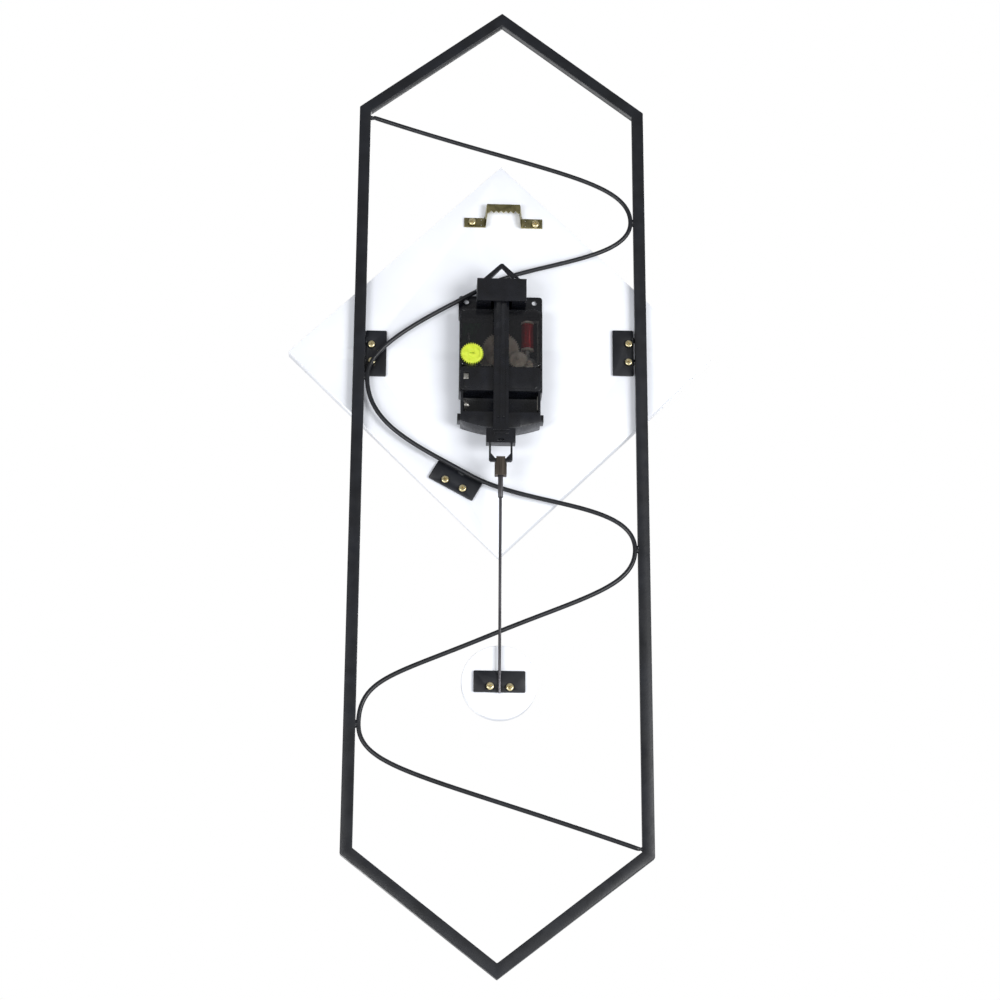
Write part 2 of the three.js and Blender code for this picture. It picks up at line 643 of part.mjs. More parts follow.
function gearTrain() {
  const magnet = pin(3, floorY + 4.6, floorY + 8.4, rotorCentre.x, rotorCentre.z, 20);
  const rotorPinion = pinionOf(rotorMesh, rotorAngle + Math.PI, level.fifthWheel, rotorCentre);
  piece('rotor', join(magnet, rotorPinion, arborAt(rotorCentre)), finish(0x55585c, 0.4, 0.6), movement);

  const fifthWheel = wheelOf(rotorMesh, rotorAngle, level.fifthWheel, fifthCentre);
  const fifthPinion = pinionOf(fifthMesh, fifthAngle + Math.PI, [level.secondWheel[0], level.fifthWheel[0]],
    fifthCentre);
  piece('fifth_wheel', join(fifthWheel, fifthPinion, arborAt(fifthCentre)), milkyPlastic(), movement);

  const secondWheel = wheelOf(fifthMesh, fifthAngle, level.secondWheel, shaftCentre);
  const secondLevels = [level.thirdWheel[0], level.secondWheel[0]];
  const secondPinion = pinionOf(secondMesh, thirdAngle, secondLevels, shaftCentre);
  const secondShaft = pin(secondShaftRadius, secondHandY - 0.6, arborEndY, 0, 0, 10);
  piece('second_wheel', join(secondWheel, secondPinion, secondShaft), milkyPlastic(), movement);

  const thirdWheel = wheelOf(secondMesh, thirdAngle + Math.PI, level.thirdWheel, thirdCentre);
  const thirdPinion = pinionOf(thirdMesh, thirdAngle + Math.PI, [level.centreWheel[0], level.thirdWheel[0]],
    thirdCentre);
  const thirdArbor = arborAt(thirdCentre, level.secondWheel[0] - gap);
  const blackAcetal = finish(0x1c1d20, 0.42);
  piece('third_wheel', join(thirdWheel, thirdPinion, thirdArbor), blackAcetal, movement);

  const centreWheel = wheelOf(thirdMesh, thirdAngle, level.centreWheel, shaftCentre, cannonTube.outer + gap);
  piece('centre_wheel', centreWheel, milkyPlastic(), movement);

  const cannonPinion = pinionOf(cannonMesh, settingAngle, level.minuteWheel, shaftCentre);
  const cannonFrontY = minuteHandY - handThickness - 0.4;
  const cannonSleeve = pin(cannonTube.outer, cannonFrontY, level.centreWheel[1] + 0.4, 0, 0, 18);
  const cannonBore = pin(cannonTube.inner, cannonFrontY - 1, arborEndY, 0, 0, 14);
  piece('cannon_pinion', cut(join(cannonPinion, cannonSleeve), cannonBore), milkyPlastic(), movement);

  const minuteWheel = wheelOf(cannonMesh, settingAngle + Math.PI, level.minuteWheel, minuteCentre);
  const minuteLevels = [level.hourWheel[0], level.minuteWheel[0]];
  const minutePinion = pinionOf(minuteMesh, settingAngle + Math.PI, minuteLevels, minuteCentre);
  piece('minute_wheel', join(minuteWheel, minutePinion), milkyPlastic(), movement);

  const hourWheel = wheelOf(minuteMesh, settingAngle, level.hourWheel, shaftCentre);
  const hourFrontY = hourHandY - handThickness - 0.4;
  const hourSleeve = pin(hourTube.outer, hourFrontY, level.hourWheel[1] + 0.2, 0, 0, 20);
  const hourBore = pin(hourTube.inner, hourFrontY - 1, arborEndY, 0, 0, 18);
  piece('hour_wheel', cut(join(hourWheel, hourSleeve), hourBore), milkyPlastic(), movement);
}

// The setting wheel: a toothed thumb disc outside the cover, on a shaft whose pinion turns the minute wheel.
const thumbRadius = 7.9;
const thumbThickness = 2;
const thumbTeeth = 30;

function settingWheel() {
  const thumbFrontY = coverBackY + gap;
  const thumbModule = 2 * thumbRadius / (thumbTeeth + 2 * addendum);
  const levels = [thumbFrontY, thumbFrontY + thumbThickness];
  const thumb = placedGear(thumbTeeth, thumbModule, 0, levels, settingCentre);
  const { x, z } = settingCentre;
  const shaft = pin(settingShaftRadius, floorY + gap, thumbFrontY + 0.5, x, z, 14);
  const toothTurn = settingAngle + Math.PI + settingPhase();
  const pinion = pinionOf(settingMesh, toothTurn, level.minuteWheel, settingCentre);
  const centreMark = pin(0.8, thumbFrontY + thumbThickness - 0.6, 40, x, z, 10);
  piece('setting_wheel', cut(join(thumb, shaft, pinion), centreMark), finish(0xdff26a, 0.5), movement);
}

// The minute wheel shows a tooth towards the cannon pinion; on the far side it shows a tooth as well only
// when its number of teeth is even, and otherwise the setting pinion is turned by half a pitch.
function settingPhase() {
  return cannonMesh.wheel % 2 === 0 ? 0 : halfPitch(settingMesh.pinion);
}

// ---------------------------------------------------------------- electrics
const coilX = -18.5;
const coilY = floorY + 6.8;
const coilRadius = 4.6;
const coilLowZ = 0.4;
const coilHighZ = 21.2;
const coreHalfWidth = 1.5;
const coreHalfDepth = 0.7;

// A turned piece about an upright line: profile points are [radius, z], from the bottom to the top.
function uprightTurned(profile, x, y, segments) {
  const geometry = new THREE.LatheGeometry(profile.map(([r, z]) => new THREE.Vector2(r, z)), segments);
  geometry.rotateX(Math.PI / 2);
  geometry.translate(x, y, 0);
  return geometry;
}

function steppingMotor() {
  const flange = 0.8;
  const tubeRadius = 2.3;
  const bobbin = uprightTurned([
    [0, coilLowZ], [coilRadius, coilLowZ], [coilRadius, coilLowZ + flange], [tubeRadius, coilLowZ + flange],
    [tubeRadius, coilHighZ - flange], [coilRadius, coilHighZ - flange], [coilRadius, coilHighZ],
    [0, coilHighZ],
  ], coilX, coilY, 20);
  const bore = box(coilX - coreHalfWidth - gap, coilX + coreHalfWidth + gap, coilY - coreHalfDepth - gap,
    coilY + coreHalfDepth + gap, coilLowZ - 1, coilHighZ + 1);
  piece('coil_bobbin', cut(bobbin, bore), finish(0xe6e2da, 0.5), movement);

  const inner = tubeRadius + gap;
  const outer = coilRadius - 0.2;
  const low = coilLowZ + flange + gap;
  const high = coilHighZ - flange - gap;
  const section = [[inner, low], [outer, low], [outer, high], [inner, high], [inner, low]];
  piece('coil_winding', uprightTurned(section, coilX, coilY, 24), copperWire(), movement);

  // the stator: a ring about the rotor, the core through the bobbin, and the leg that closes the loop
  const ringRadius = 5.2;
  const legX = -(caseWidth / 2 - caseWall) + gap;
  const frontY = coilY - coreHalfDepth;
  const backY = coilY + coreHalfDepth;
  const ring = pin(ringRadius, frontY, backY, rotorCentre.x, rotorCentre.z, 28);
  const core = box(coilX - coreHalfWidth, coilX + coreHalfWidth, frontY, backY, rotorCentre.z, coilHighZ + 2);
  const leg = box(legX, legX + 1.5, frontY, backY, rotorCentre.z, coilHighZ + 2);
  const bridge = box(legX, coilX + coreHalfWidth, frontY, backY, coilHighZ + gap, coilHighZ + 2);
  const foot = box(legX, rotorCentre.x, frontY, backY, rotorCentre.z - 1.5, rotorCentre.z + 1.5);
  const rotorHole = pin(3.4, frontY - 1, backY + 1, rotorCentre.x, rotorCentre.z, 24);
  piece('stator', cut(join(ring, core, leg, bridge, foot), rotorHole), steel(), movement);
}

function circuit() {
  const frontY = floorY + gap;
  const backY = frontY + 1;
  piece('circuit_board', box(13.4, 26.2, frontY, backY, 6, 23), finish(0x2f6b3c, 0.5), movement);
  const crystal = uprightTurned([[0, 9], [1, 9], [1, 15], [0, 15]], 22, backY + gap + 1, 14);
  piece('quartz_crystal', crystal, finish(0xc9ccd0, 0.25, 1), movement);
}

// Battery contacts: a wire spring for the flat end and a sprung plate for the button end.
const contactZ = (batteryRoomTopZ + batteryRoomLowZ) / 2;
const contactY = floorY + batteryDiameter / 2 - 0.8;

class SpringPath extends THREE.Curve {
  getPoint(t, target = new THREE.Vector3()) {
    const turns = 2.5;
    const radius = 4.6 - 2 * t;
    const angle = 2 * Math.PI * turns * t;
    const roomX = lowerHalfWidth - caseWall - gap - 0.5;
    const [y, z] = [contactY + radius * Math.cos(angle), contactZ + radius * Math.sin(angle)];
    return target.set(roomX - 3.2 * t, y, z);
  }
}

function batteryContacts() {
  const spring = new THREE.ExtrudeGeometry(roundSection(0.35, 6), {
    extrudePath: new SpringPath(), steps: 32, bevelEnabled: false,
  });
  piece('battery_spring', spring, steel(), movement);
  const plateX = -lowerHalfWidth + caseWall + gap;
  const plate = box(plateX, plateX + 0.4, floorY + gap, caseBackY - 1.5, contactZ - 5, contactZ + 5);
  const dimple = new THREE.CylinderGeometry(1.2, 2, 0.7, 14);
  dimple.rotateZ(-Math.PI / 2);
  dimple.translate(plateX + 0.6, contactY, contactZ);
  piece('battery_plate', join(plate, dimple), steel(), movement);
}

const magnetRadius = 3.6;
const magnetDepth = 1.2;
const magnetZ = batteryRoomLowZ - caseWall - coilRoomHeight / 2;
function driveCoil() {
  const inner = 1.4;
  const outer = 3.4;
  const backY = caseBackY - caseWall - gap;
  piece('pendulum_coil', tube(outer, inner, 6, backY, 0, magnetZ, 24), copperWire(), movement);
}

// ---------------------------------------------------------------- hand shaft fittings and hands
function shaftFittings() {
  const nutFrontY = dialFrontY - 3.4;
  piece('threaded_bushing', cut(pin(bushingRadius, nutFrontY - 0.8, floorY - 0.4, 0, 0, 24),
    pin(hourTube.outer + 0.35, nutFrontY - 2, floorY + 1, 0, 0, 20)), brass(), movement);
  const across = bushingRadius * 1.5;
  const nut = roundSection(across / Math.cos(Math.PI / 6), 6);
  const nutBore = new THREE.Path();
  nutBore.absarc(0, 0, bushingRadius + gap, 0, 2 * Math.PI);
  nut.holes.push(nutBore);
  piece('hex_nut', slab(nut, nutFrontY, nutFrontY + 2.2, 10), brass(), movement);
  piece('shaft_washer', tube(7, bushingRadius + gap, dialFrontY - 0.9, dialFrontY - gap), brass(), movement);
}

function handShape(length, width, tail, hubRadius, boreRadius) {
  const half = width / 2;
  const neck = Math.sqrt(hubRadius * hubRadius - half * half);
  const side = Math.asin(half / hubRadius);
  const shape = new THREE.Shape();
  shape.moveTo(half, neck);
  shape.lineTo(half * 0.5, length);
  shape.lineTo(-half * 0.5, length);
  shape.lineTo(-half, neck);
  shape.absarc(0, 0, hubRadius, Math.PI / 2 + side, 1.5 * Math.PI - side);
  if (tail > 0) {
    shape.lineTo(-half, -tail);
    shape.lineTo(half, -tail);
  }
  shape.absarc(0, 0, hubRadius, 1.5 * Math.PI + side, 2.5 * Math.PI - side);
  if (boreRadius > 0) {
    const bore = new THREE.Path();
    bore.absarc(0, 0, boreRadius, 0, 2 * Math.PI);
    shape.holes.push(bore);
  }
  return shape;
}

function hand(name, shape, backY, angle) {
  const geometry = slab(shape, backY - handThickness, backY, 8);
  geometry.rotateY(angle);
  piece(name, geometry, finish(0x17181b, 0.35), movement);
}

// ten past ten: angles clockwise from twelve as seen from the front
const clockAngle = (share) => 2 * Math.PI * share;
function hands() {
  const minutes = 10;
  hand('hour_hand', handShape(hourHandLength, 5, 10, 5, hourTube.outer + gap), hourHandY,
    clockAngle((10 + minutes / 60) / 12));
  hand('minute_hand', handShape(minuteHandLength, 4, 12, 4.2, cannonTube.outer + gap), minuteHandY,
    clockAngle(minutes / 60));
  hand('second_hand', handShape(secondHandLength, 1.4, 26, 3, secondShaftRadius + gap), secondHandY,
    clockAngle(35 / 60));
}

// ---------------------------------------------------------------- pendulum arm
const blockTopZ = caseLowZ - 2.3;
const blockLowZ = blockTopZ - armBlockHeight;
const crossbarLowZ = blockLowZ - hookDrop;
const crossbarTopZ = crossbarLowZ + hookCrossbar;
const crossbarFrontY = armFrontY + 0.8;
const crossbarBackY = armBackY - 0.8;
const hookOuterHalf = hookInnerWidth / 2 + hookBar;

// The hook's two prongs and its crossbar, with a gusset in each lower corner.
function hookOutline() {
  const root = blockLowZ + 1;
  const inner = hookOuterHalf - hookBar;
  const gusset = { width: 3, height: 3.6 };
  return outline([
    [-hookOuterHalf, root], [-hookOuterHalf, crossbarLowZ + 1], [-hookOuterHalf + 1, crossbarLowZ],
    [hookOuterHalf - 1, crossbarLowZ], [hookOuterHalf, crossbarLowZ + 1], [hookOuterHalf, root],
    [inner, root], [inner, crossbarTopZ + gusset.height], [inner - gusset.width, crossbarTopZ],
    [-inner + gusset.width, crossbarTopZ], [-inner, crossbarTopZ + gusset.height], [-inner, root],
  ]);
}

function pendulumArm() {
  const half = armWidth / 2;
  const headRadius = 3.4;
  const stem = new THREE.Shape();
  stem.moveTo(-half, blockTopZ - 1);
  stem.lineTo(half, blockTopZ - 1);
  stem.lineTo(half, pivotZ);
  stem.absarc(0, pivotZ, headRadius, 0, Math.PI);
  stem.lineTo(-half, pivotZ);
  const grooves = [-1, 1].map((side) =>
    box(side * 1.9 - 1.3, side * 1.9 + 1.3, armBackY - 0.7, armBackY + 1, blockTopZ + 3, pivotZ - 9));
  const block = box(-armBlockWidth / 2, armBlockWidth / 2, armFrontY - 3, armBackY, blockLowZ, blockTopZ);
  const slot = box(-2.1, 2.1, 0, 40, blockLowZ + 1.4, blockLowZ + 2.8);
  const pivotBore = pin(pivotPinRadius + gap, 0, 40, 0, pivotZ, 16);
  const magnetPocket = pin(magnetRadius + gap, 0, armFrontY + magnetDepth + gap, 0, magnetZ, 24);
  const hook = slab(hookOutline(), crossbarFrontY, crossbarBackY);
  const filled = join(slab(stem, armFrontY, armBackY), block, hook);
  piece('pendulum_arm', cut(filled, ...grooves, slot, pivotBore, magnetPocket), blackPlastic(), movement);
  const magnet = pin(magnetRadius, armFrontY, armFrontY + magnetDepth, 0, magnetZ, 24);
  piece('arm_magnet', magnet, steel(), movement);
}

// ---------------------------------------------------------------- rod and bob
const rodAxisY = armFrontY + armThickness / 2;
const clipWidth = 8.1;
const clipHookWidth = 6;
const clipMetal = 0.8;
const bridgeLowZ = crossbarTopZ + gap;
const clipBodyTopZ = crossbarLowZ - 0.9;
const clipBodyLowZ = clipBodyTopZ - 9.3;
const sleeveLowZ = clipBodyLowZ - 15.4;
const sleeveWall = 0.4;
const sleeveOuter = pendulumRodRadius + gap + sleeveWall;
const rodTopZ = clipBodyTopZ - 3;

const uprightBar = (radius, lowZ, highZ, segments) =>
  uprightTurned([[0, lowZ], [radius, lowZ], [radius, highZ], [0, highZ]], 0, rodAxisY, segments);

function rodAndBob() {
  const hookFrontY = crossbarFrontY - gap - clipMetal;
  const hookBackY = crossbarBackY + gap + clipMetal;
  const side = clipHookWidth / 2;
  const [strapLowZ, strapHighZ] = [clipBodyTopZ - 1, bridgeLowZ + clipMetal];
  const strap = (frontY) => box(-side, side, frontY, frontY + clipMetal, strapLowZ, strapHighZ);
  const bridge = box(-side, side, hookFrontY, hookBackY, bridgeLowZ, bridgeLowZ + clipMetal);
  const body = box(-clipWidth / 2, clipWidth / 2, hookFrontY, hookBackY, clipBodyLowZ, clipBodyTopZ);
  const sleeveBore = uprightBar(sleeveOuter + gap, clipBodyLowZ - 1, rodTopZ + 0.6, 16);
  const folded = join(strap(hookBackY - clipMetal), strap(hookFrontY), bridge, body);
  piece('rod_clip', cut(folded, sleeveBore), finish(0x5a4a3e, 0.45, 0.8), movement);
  const sleeveInner = sleeveOuter - sleeveWall;
  const sleeve = uprightTurned([[sleeveInner, sleeveLowZ], [sleeveOuter, sleeveLowZ], [sleeveOuter, rodTopZ],
    [sleeveInner, rodTopZ], [sleeveInner, sleeveLowZ]], 0, rodAxisY, 16);
  piece('rod_sleeve', sleeve, steel(), movement);

  const rodLowZ = rodTopZ - pendulumRodLength;
  piece('pendulum_rod', uprightBar(pendulumRodRadius, rodLowZ, rodTopZ - gap, 12), steel(), movement);

  const plateBackY = rodAxisY - pendulumRodRadius - gap;
  const plateFrontY = plateBackY - plateThickness;
  const plateZ = rodLowZ + 1 + plateWidth / 2;
  const plate = slab(plateShape(), plateFrontY, plateBackY, 6);
  plate.translate(0, 0, plateZ);
  piece('bob_plate', plate, blackPaint(), movement);

  const discBackY = plateFrontY - gap;
  let disc = turned([[0, discBackY - bobThickness], [bobRadius - 0.5, discBackY - bobThickness],
    [bobRadius, discBackY - bobThickness + 0.5], [bobRadius, discBackY - 0.5], [bobRadius - 0.5, discBackY],
    [0, discBackY]], 0, plateZ, 40);
  plateScrews.forEach((x, i) => {
    const screwZ = plateZ - plateScrewInset;
    disc = cut(disc, pin(pilotRadius, discBackY - bobScrewLength, discBackY + 1, x, screwZ, 8));
    screw(`bob_screw_${i + 1}`, x, plateBackY, screwZ, bobScrewLength, movement);
  });
  piece('bob_disc', disc, whiteLacquer(), movement);
}

// ---------------------------------------------------------------- assembly
frameBars();
scrollRod();
fixingPlates();
hangerStrip();
dialPanel();
movementCase();
movementCovers();
hangerBracket();
gearTrain();
settingWheel();
steppingMotor();
circuit();
batteryContacts();
driveCoil();
shaftFittings();
hands();
pendulumArm();
rodAndBob();

clock.position.set(0, -hangerBackY + hangerMetal / 2, -hangerNotchZ);
export default clock;
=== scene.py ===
import json
import math
import random

import bpy
from mathutils import Matrix, Vector

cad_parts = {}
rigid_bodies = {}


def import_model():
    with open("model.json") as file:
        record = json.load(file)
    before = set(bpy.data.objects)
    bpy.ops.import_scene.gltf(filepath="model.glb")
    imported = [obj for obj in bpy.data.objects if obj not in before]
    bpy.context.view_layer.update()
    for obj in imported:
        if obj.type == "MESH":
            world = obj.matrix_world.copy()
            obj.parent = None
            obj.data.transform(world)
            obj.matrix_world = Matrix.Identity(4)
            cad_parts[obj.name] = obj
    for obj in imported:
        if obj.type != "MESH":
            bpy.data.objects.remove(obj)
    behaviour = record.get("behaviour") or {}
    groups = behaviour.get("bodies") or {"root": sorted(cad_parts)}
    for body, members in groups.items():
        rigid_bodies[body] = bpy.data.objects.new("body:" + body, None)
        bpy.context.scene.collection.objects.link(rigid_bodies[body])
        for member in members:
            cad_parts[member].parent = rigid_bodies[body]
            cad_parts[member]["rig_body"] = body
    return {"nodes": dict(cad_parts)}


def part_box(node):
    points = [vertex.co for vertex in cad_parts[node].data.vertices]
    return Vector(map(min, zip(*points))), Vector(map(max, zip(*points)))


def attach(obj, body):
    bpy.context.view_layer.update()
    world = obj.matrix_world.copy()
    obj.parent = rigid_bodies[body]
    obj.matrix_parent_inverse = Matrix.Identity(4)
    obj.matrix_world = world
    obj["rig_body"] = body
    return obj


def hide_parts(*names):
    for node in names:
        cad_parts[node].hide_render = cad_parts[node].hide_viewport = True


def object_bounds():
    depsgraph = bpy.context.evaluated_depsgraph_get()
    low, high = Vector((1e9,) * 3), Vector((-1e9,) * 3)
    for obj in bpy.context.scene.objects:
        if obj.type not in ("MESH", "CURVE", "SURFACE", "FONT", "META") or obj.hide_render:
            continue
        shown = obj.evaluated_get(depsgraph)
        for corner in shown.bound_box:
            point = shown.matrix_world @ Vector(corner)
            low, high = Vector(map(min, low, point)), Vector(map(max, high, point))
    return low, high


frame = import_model()
cad_box = [list(corner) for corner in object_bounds()]

MM = 0.001


# ------------------------------------------------------------------ camera, light and floor
# The clock hangs free in a pale studio. The camera looks at its back from a little below, through a
# long lens, and large soft panels light it from all round.
def colour(hex_code, alpha=1.0):
    """An sRGB hex colour as the linear colour that shaders and lights take."""
    shares = [int(hex_code[i:i + 2], 16) / 255 for i in (1, 3, 5)]
    linear = [s / 12.92 if s <= 0.04045 else ((s + 0.055) / 1.055) ** 2.4 for s in shares]
    return (*linear, alpha)


def add(tree, kind, values={}, links={}):
    """Adds one shader node. values sets its properties and sockets, and links joins sockets to others."""
    made = tree.nodes.new(kind)
    for key, value in values.items():
        if isinstance(key, int) or key in made.inputs:
            made.inputs[key].default_value = value
        else:
            setattr(made, key, value)
    for key, source in links.items():
        tree.links.new(source, made.inputs[key])
    return made


camera_data = bpy.data.cameras.new("back_camera")
camera_data.lens = 90.28
camera_data.sensor_width = 36
camera_data.clip_end = 120
camera = bpy.data.objects.new("back_camera", camera_data)
camera.location = (0.06244, 1.59071, -0.80374)
camera.rotation_euler = [math.radians(a) for a in (110.211, -0.289, 177.635)]
bpy.context.scene.collection.objects.link(camera)
bpy.context.scene.camera = camera

# the walls of the studio look white, but send the clock only a little light of their own, so that its
# blacks stay deep and the panels do the lighting
world = bpy.data.worlds.new("white_studio")
world.use_nodes = True
backdrop = world.node_tree.nodes["Background"]
backdrop.inputs["Color"].default_value = colour("#FFFFFF")
seen = add(world.node_tree, "ShaderNodeLightPath")
strength = add(world.node_tree, "ShaderNodeMapRange", {"To Min": 0.32, "To Max": 1.0},
               {"Value": seen.outputs["Is Camera Ray"]})
world.node_tree.links.new(strength.outputs["Result"], backdrop.inputs["Strength"])
bpy.context.scene.world = world
bpy.context.scene.view_settings.view_transform = "Standard"


def light_panel(name, place, aim, size, power):
    data = bpy.data.lights.new(name, "AREA")
    data.shape = "DISK"
    data.size = size
    data.energy = power
    panel = bpy.data.objects.new(name, data)
    panel.location = place
    panel.rotation_euler = (Vector(aim) - Vector(place)).to_track_quat("-Z", "Y").to_euler()
    bpy.context.scene.collection.objects.link(panel)


middle = (Vector(cad_box[0]) + Vector(cad_box[1])) / 2
light_panel("left_back_panel", (1.1, 1.6, -1.0), middle, 1.1, 29)
light_panel("right_back_panel", (-1.3, 1.6, -0.7), middle, 1.1, 36)
light_panel("front_panel", (-0.9, -1.7, 0.8), middle, 1.2, 21)
light_panel("low_front_panel", (1.0, -1.4, -0.7), middle, 1.2, 9)

floor_drop = 0.45
floor_size = 80
bpy.ops.mesh.primitive_plane_add(size=floor_size, location=(0, 0, cad_box[0][2] - floor_drop))
floor = bpy.context.object
floor.name = "studio_floor"
# a floor that glows evenly, like a backlit studio table, over a dark base on which no panel leaves an edge
floor_paper = bpy.data.materials.new("matt_white_paper")
floor_paper.use_nodes = True
for socket, value in {"Base Color": colour("#2C2C2E"), "Roughness": 0.9, "Specular IOR Level": 0.0,
                      "Emission Color": colour("#F4F5F7"), "Emission Strength": 0.8}.items():
    floor_paper.node_tree.nodes["Principled BSDF"].inputs[socket].default_value = value
floor.data.materials.append(floor_paper)


# ------------------------------------------------------------------ hexagon frame
# Six mild steel flat bars, mitred, welded and ground flush into one hexagon, then powder coated satin
# black. Corners are crisp, with the coat rounding each edge by about half a millimetre.
def new_finish(name, values):
    """A material with one Principled shader, and the object's own coordinates for its patterns."""
    material = bpy.data.materials.new(name)
    material.use_nodes = True
    tree = material.node_tree
    shader = tree.nodes["Principled BSDF"]
    for key, value in values.items():
        shader.inputs[key].default_value = value
    return material, tree, shader, add(tree, "ShaderNodeTexCoord").outputs["Object"]


def mottle(tree, shader, place, grain, dark, light, low=0.35, high=0.65, detail=4):
    """Colour that drifts between two shades over patches of one grain size. Returns the pattern."""
    noise = add(tree, "ShaderNodeTexNoise", {"Scale": 1 / grain, "Detail": detail}, {"Vector": place})
    ramp = add(tree, "ShaderNodeValToRGB", {}, {"Fac": noise.outputs["Fac"]})
    ramp.color_ramp.elements[0].position = low
    ramp.color_ramp.elements[0].color = colour(dark)
    ramp.color_ramp.elements[1].position = high
    ramp.color_ramp.elements[1].color = colour(light)
    tree.links.new(ramp.outputs["Color"], shader.inputs["Base Color"])
    return noise.outputs["Fac"]


def relief(tree, shader, height, depth):
    """Bumps of that depth in metres, from a pattern."""
    bump = add(tree, "ShaderNodeBump", {"Strength": 1.0, "Distance": depth}, {"Height": height})
    tree.links.new(bump.outputs["Normal"], shader.inputs["Normal"])


def vary_roughness(tree, shader, place, grain, low, high):
    noise = add(tree, "ShaderNodeTexNoise", {"Scale": 1 / grain, "Detail": 3}, {"Vector": place})
    limits = {"From Min": 0.3, "From Max": 0.7, "To Min": low, "To Max": high}
    spread = add(tree, "ShaderNodeMapRange", limits, {"Value": noise.outputs["Fac"]})
    tree.links.new(spread.outputs["Result"], shader.inputs["Roughness"])


def powder_coat():
    # Polyester powder baked on steel: satin, almost black with a blue cast, and a fine orange peel that
    # is drawn at 1.2 mm, a little coarser than the real one, so that it shows.
    material, tree, shader, place = new_finish("satin_black_powder_coat", {"Roughness": 0.42, "IOR": 1.5})
    mottle(tree, shader, place, 22 * MM, "#0C0E13", "#15181F")
    vary_roughness(tree, shader, place, 9 * MM, 0.34, 0.5)
    peel = add(tree, "ShaderNodeTexNoise", {"Scale": 1 / (1.2 * MM), "Detail": 2}, {"Vector": place})
    relief(tree, shader, peel.outputs["Fac"], 0.05 * MM)
    return material


black_coat = powder_coat()


def only(piece):
    """Selects this one object and makes it the active one."""
    bpy.ops.object.select_all(action="DESELECT")
    piece.select_set(True)
    bpy.context.view_layer.objects.active = piece


def shape_with(piece, kind, **settings):
    """Adds a modifier with these settings and applies it."""
    only(piece)
    modifier = piece.modifiers.new(kind.lower(), kind)
    for key, value in settings.items():
        setattr(modifier, key, value)
    bpy.ops.object.modifier_apply(modifier=modifier.name)


def round_edges(piece, width, segments=2, sharp=40):
    """Bevels every edge sharper than that angle, and smooths the shading up to it."""
    shape_with(piece, "BEVEL", width=width, segments=segments, limit_method="ANGLE",
               angle_limit=math.radians(sharp), use_clamp_overlap=True)
    only(piece)
    bpy.ops.object.shade_smooth_by_angle(angle=math.radians(34))


def settle(piece, material, nodes=(), body=None):
    """Gives a finished piece its finish and its body, and hides the CAD nodes that it stands for."""
    only(piece)
    bpy.ops.object.transform_apply(location=True, rotation=True, scale=True)
    piece.data.materials.clear()
    piece.data.materials.append(material)
    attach(piece, body or frame["nodes"][nodes[0]]["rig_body"])
    if nodes:
        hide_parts(*nodes)
    return piece


rail_low, rail_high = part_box("frame_right_rail")
frame_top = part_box("frame_top_right_bar")[1].z
frame_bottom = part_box("frame_bottom_right_bar")[0].z
half_frame = rail_high.x
bar_width = rail_high.x - rail_low.x
bar_depth = rail_high.y - rail_low.y
frame_middle = (frame_top + frame_bottom) / 2

bpy.ops.object.select_all(action="DESELECT")
bpy.ops.mesh.primitive_circle_add(vertices=6, radius=half_frame, fill_type="NGON")
hexagon = bpy.context.object
hexagon.name = "welded_hexagon_frame"
corners = [(0, frame_top), (half_frame, rail_high.z), (half_frame, rail_low.z), (0, frame_bottom),
           (-half_frame, rail_low.z), (-half_frame, rail_high.z)]
for vertex, (x, z) in zip(hexagon.data.vertices, corners):
    vertex.co = (x, rail_high.y, z)
bpy.ops.object.mode_set(mode="EDIT")
bpy.ops.mesh.select_all(action="SELECT")
bpy.ops.mesh.normals_make_consistent(inside=False)
bpy.ops.mesh.inset(thickness=bar_width, use_even_offset=True)
bpy.ops.mesh.delete(type="FACE")
bpy.ops.mesh.select_all(action="SELECT")
bpy.ops.mesh.extrude_region_move(TRANSFORM_OT_translate={"value": (0, -bar_depth, 0)})
bpy.ops.mesh.select_all(action="SELECT")
bpy.ops.mesh.normals_make_consistent(inside=False)
bpy.ops.object.mode_set(mode="OBJECT")
round_edges(hexagon, 0.55 * MM, segments=3)
settle(hexagon, black_coat, [
    "frame_top_right_bar", "frame_right_rail", "frame_bottom_right_bar",
    "frame_bottom_left_bar", "frame_left_rail", "frame_top_left_bar"])


# ------------------------------------------------------------------ scroll rod
# One 3 mm round steel rod, bent cold into four slants with wide bends and tack welded wherever a bend
# meets a rail. It has the frame's powder coat.
def copy_of(node, name):
    """A copy of a CAD node with its loose triangles merged into clean faces."""
    piece = bpy.data.objects.new(name, frame["nodes"][node].data.copy())
    bpy.context.scene.collection.objects.link(piece)
    only(piece)
    bpy.ops.mesh.customdata_custom_splitnormals_clear()
    bpy.ops.object.mode_set(mode="EDIT")
    bpy.ops.mesh.select_all(action="SELECT")
    bpy.ops.mesh.remove_doubles(threshold=1e-6)
    bpy.ops.object.mode_set(mode="OBJECT")
    return piece


rod = copy_of("scroll_rod", "bent_scroll_rod")
bpy.ops.object.mode_set(mode="EDIT")
bpy.ops.mesh.select_all(action="SELECT")
bpy.ops.mesh.tris_convert_to_quads(face_threshold=math.radians(60), shape_threshold=math.radians(180))
bpy.ops.object.mode_set(mode="OBJECT")
rod_low, rod_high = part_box("scroll_rod")
rod_radius = (rod_high.y - rod_low.y) / 2
# smoothing draws an eight-sided section in by a tenth, so it is first let out by as much
let_out = rod_radius * (1 / (2 / 3 + math.cos(math.pi / 4) / 3) - 1)
outward = [vertex.normal.copy() for vertex in rod.data.vertices]
for vertex, normal in zip(rod.data.vertices, outward):
    vertex.co += normal * let_out
shape_with(rod, "SUBSURF", levels=2, render_levels=2)
only(rod)
bpy.ops.object.shade_smooth()
settle(rod, black_coat, ["scroll_rod"])


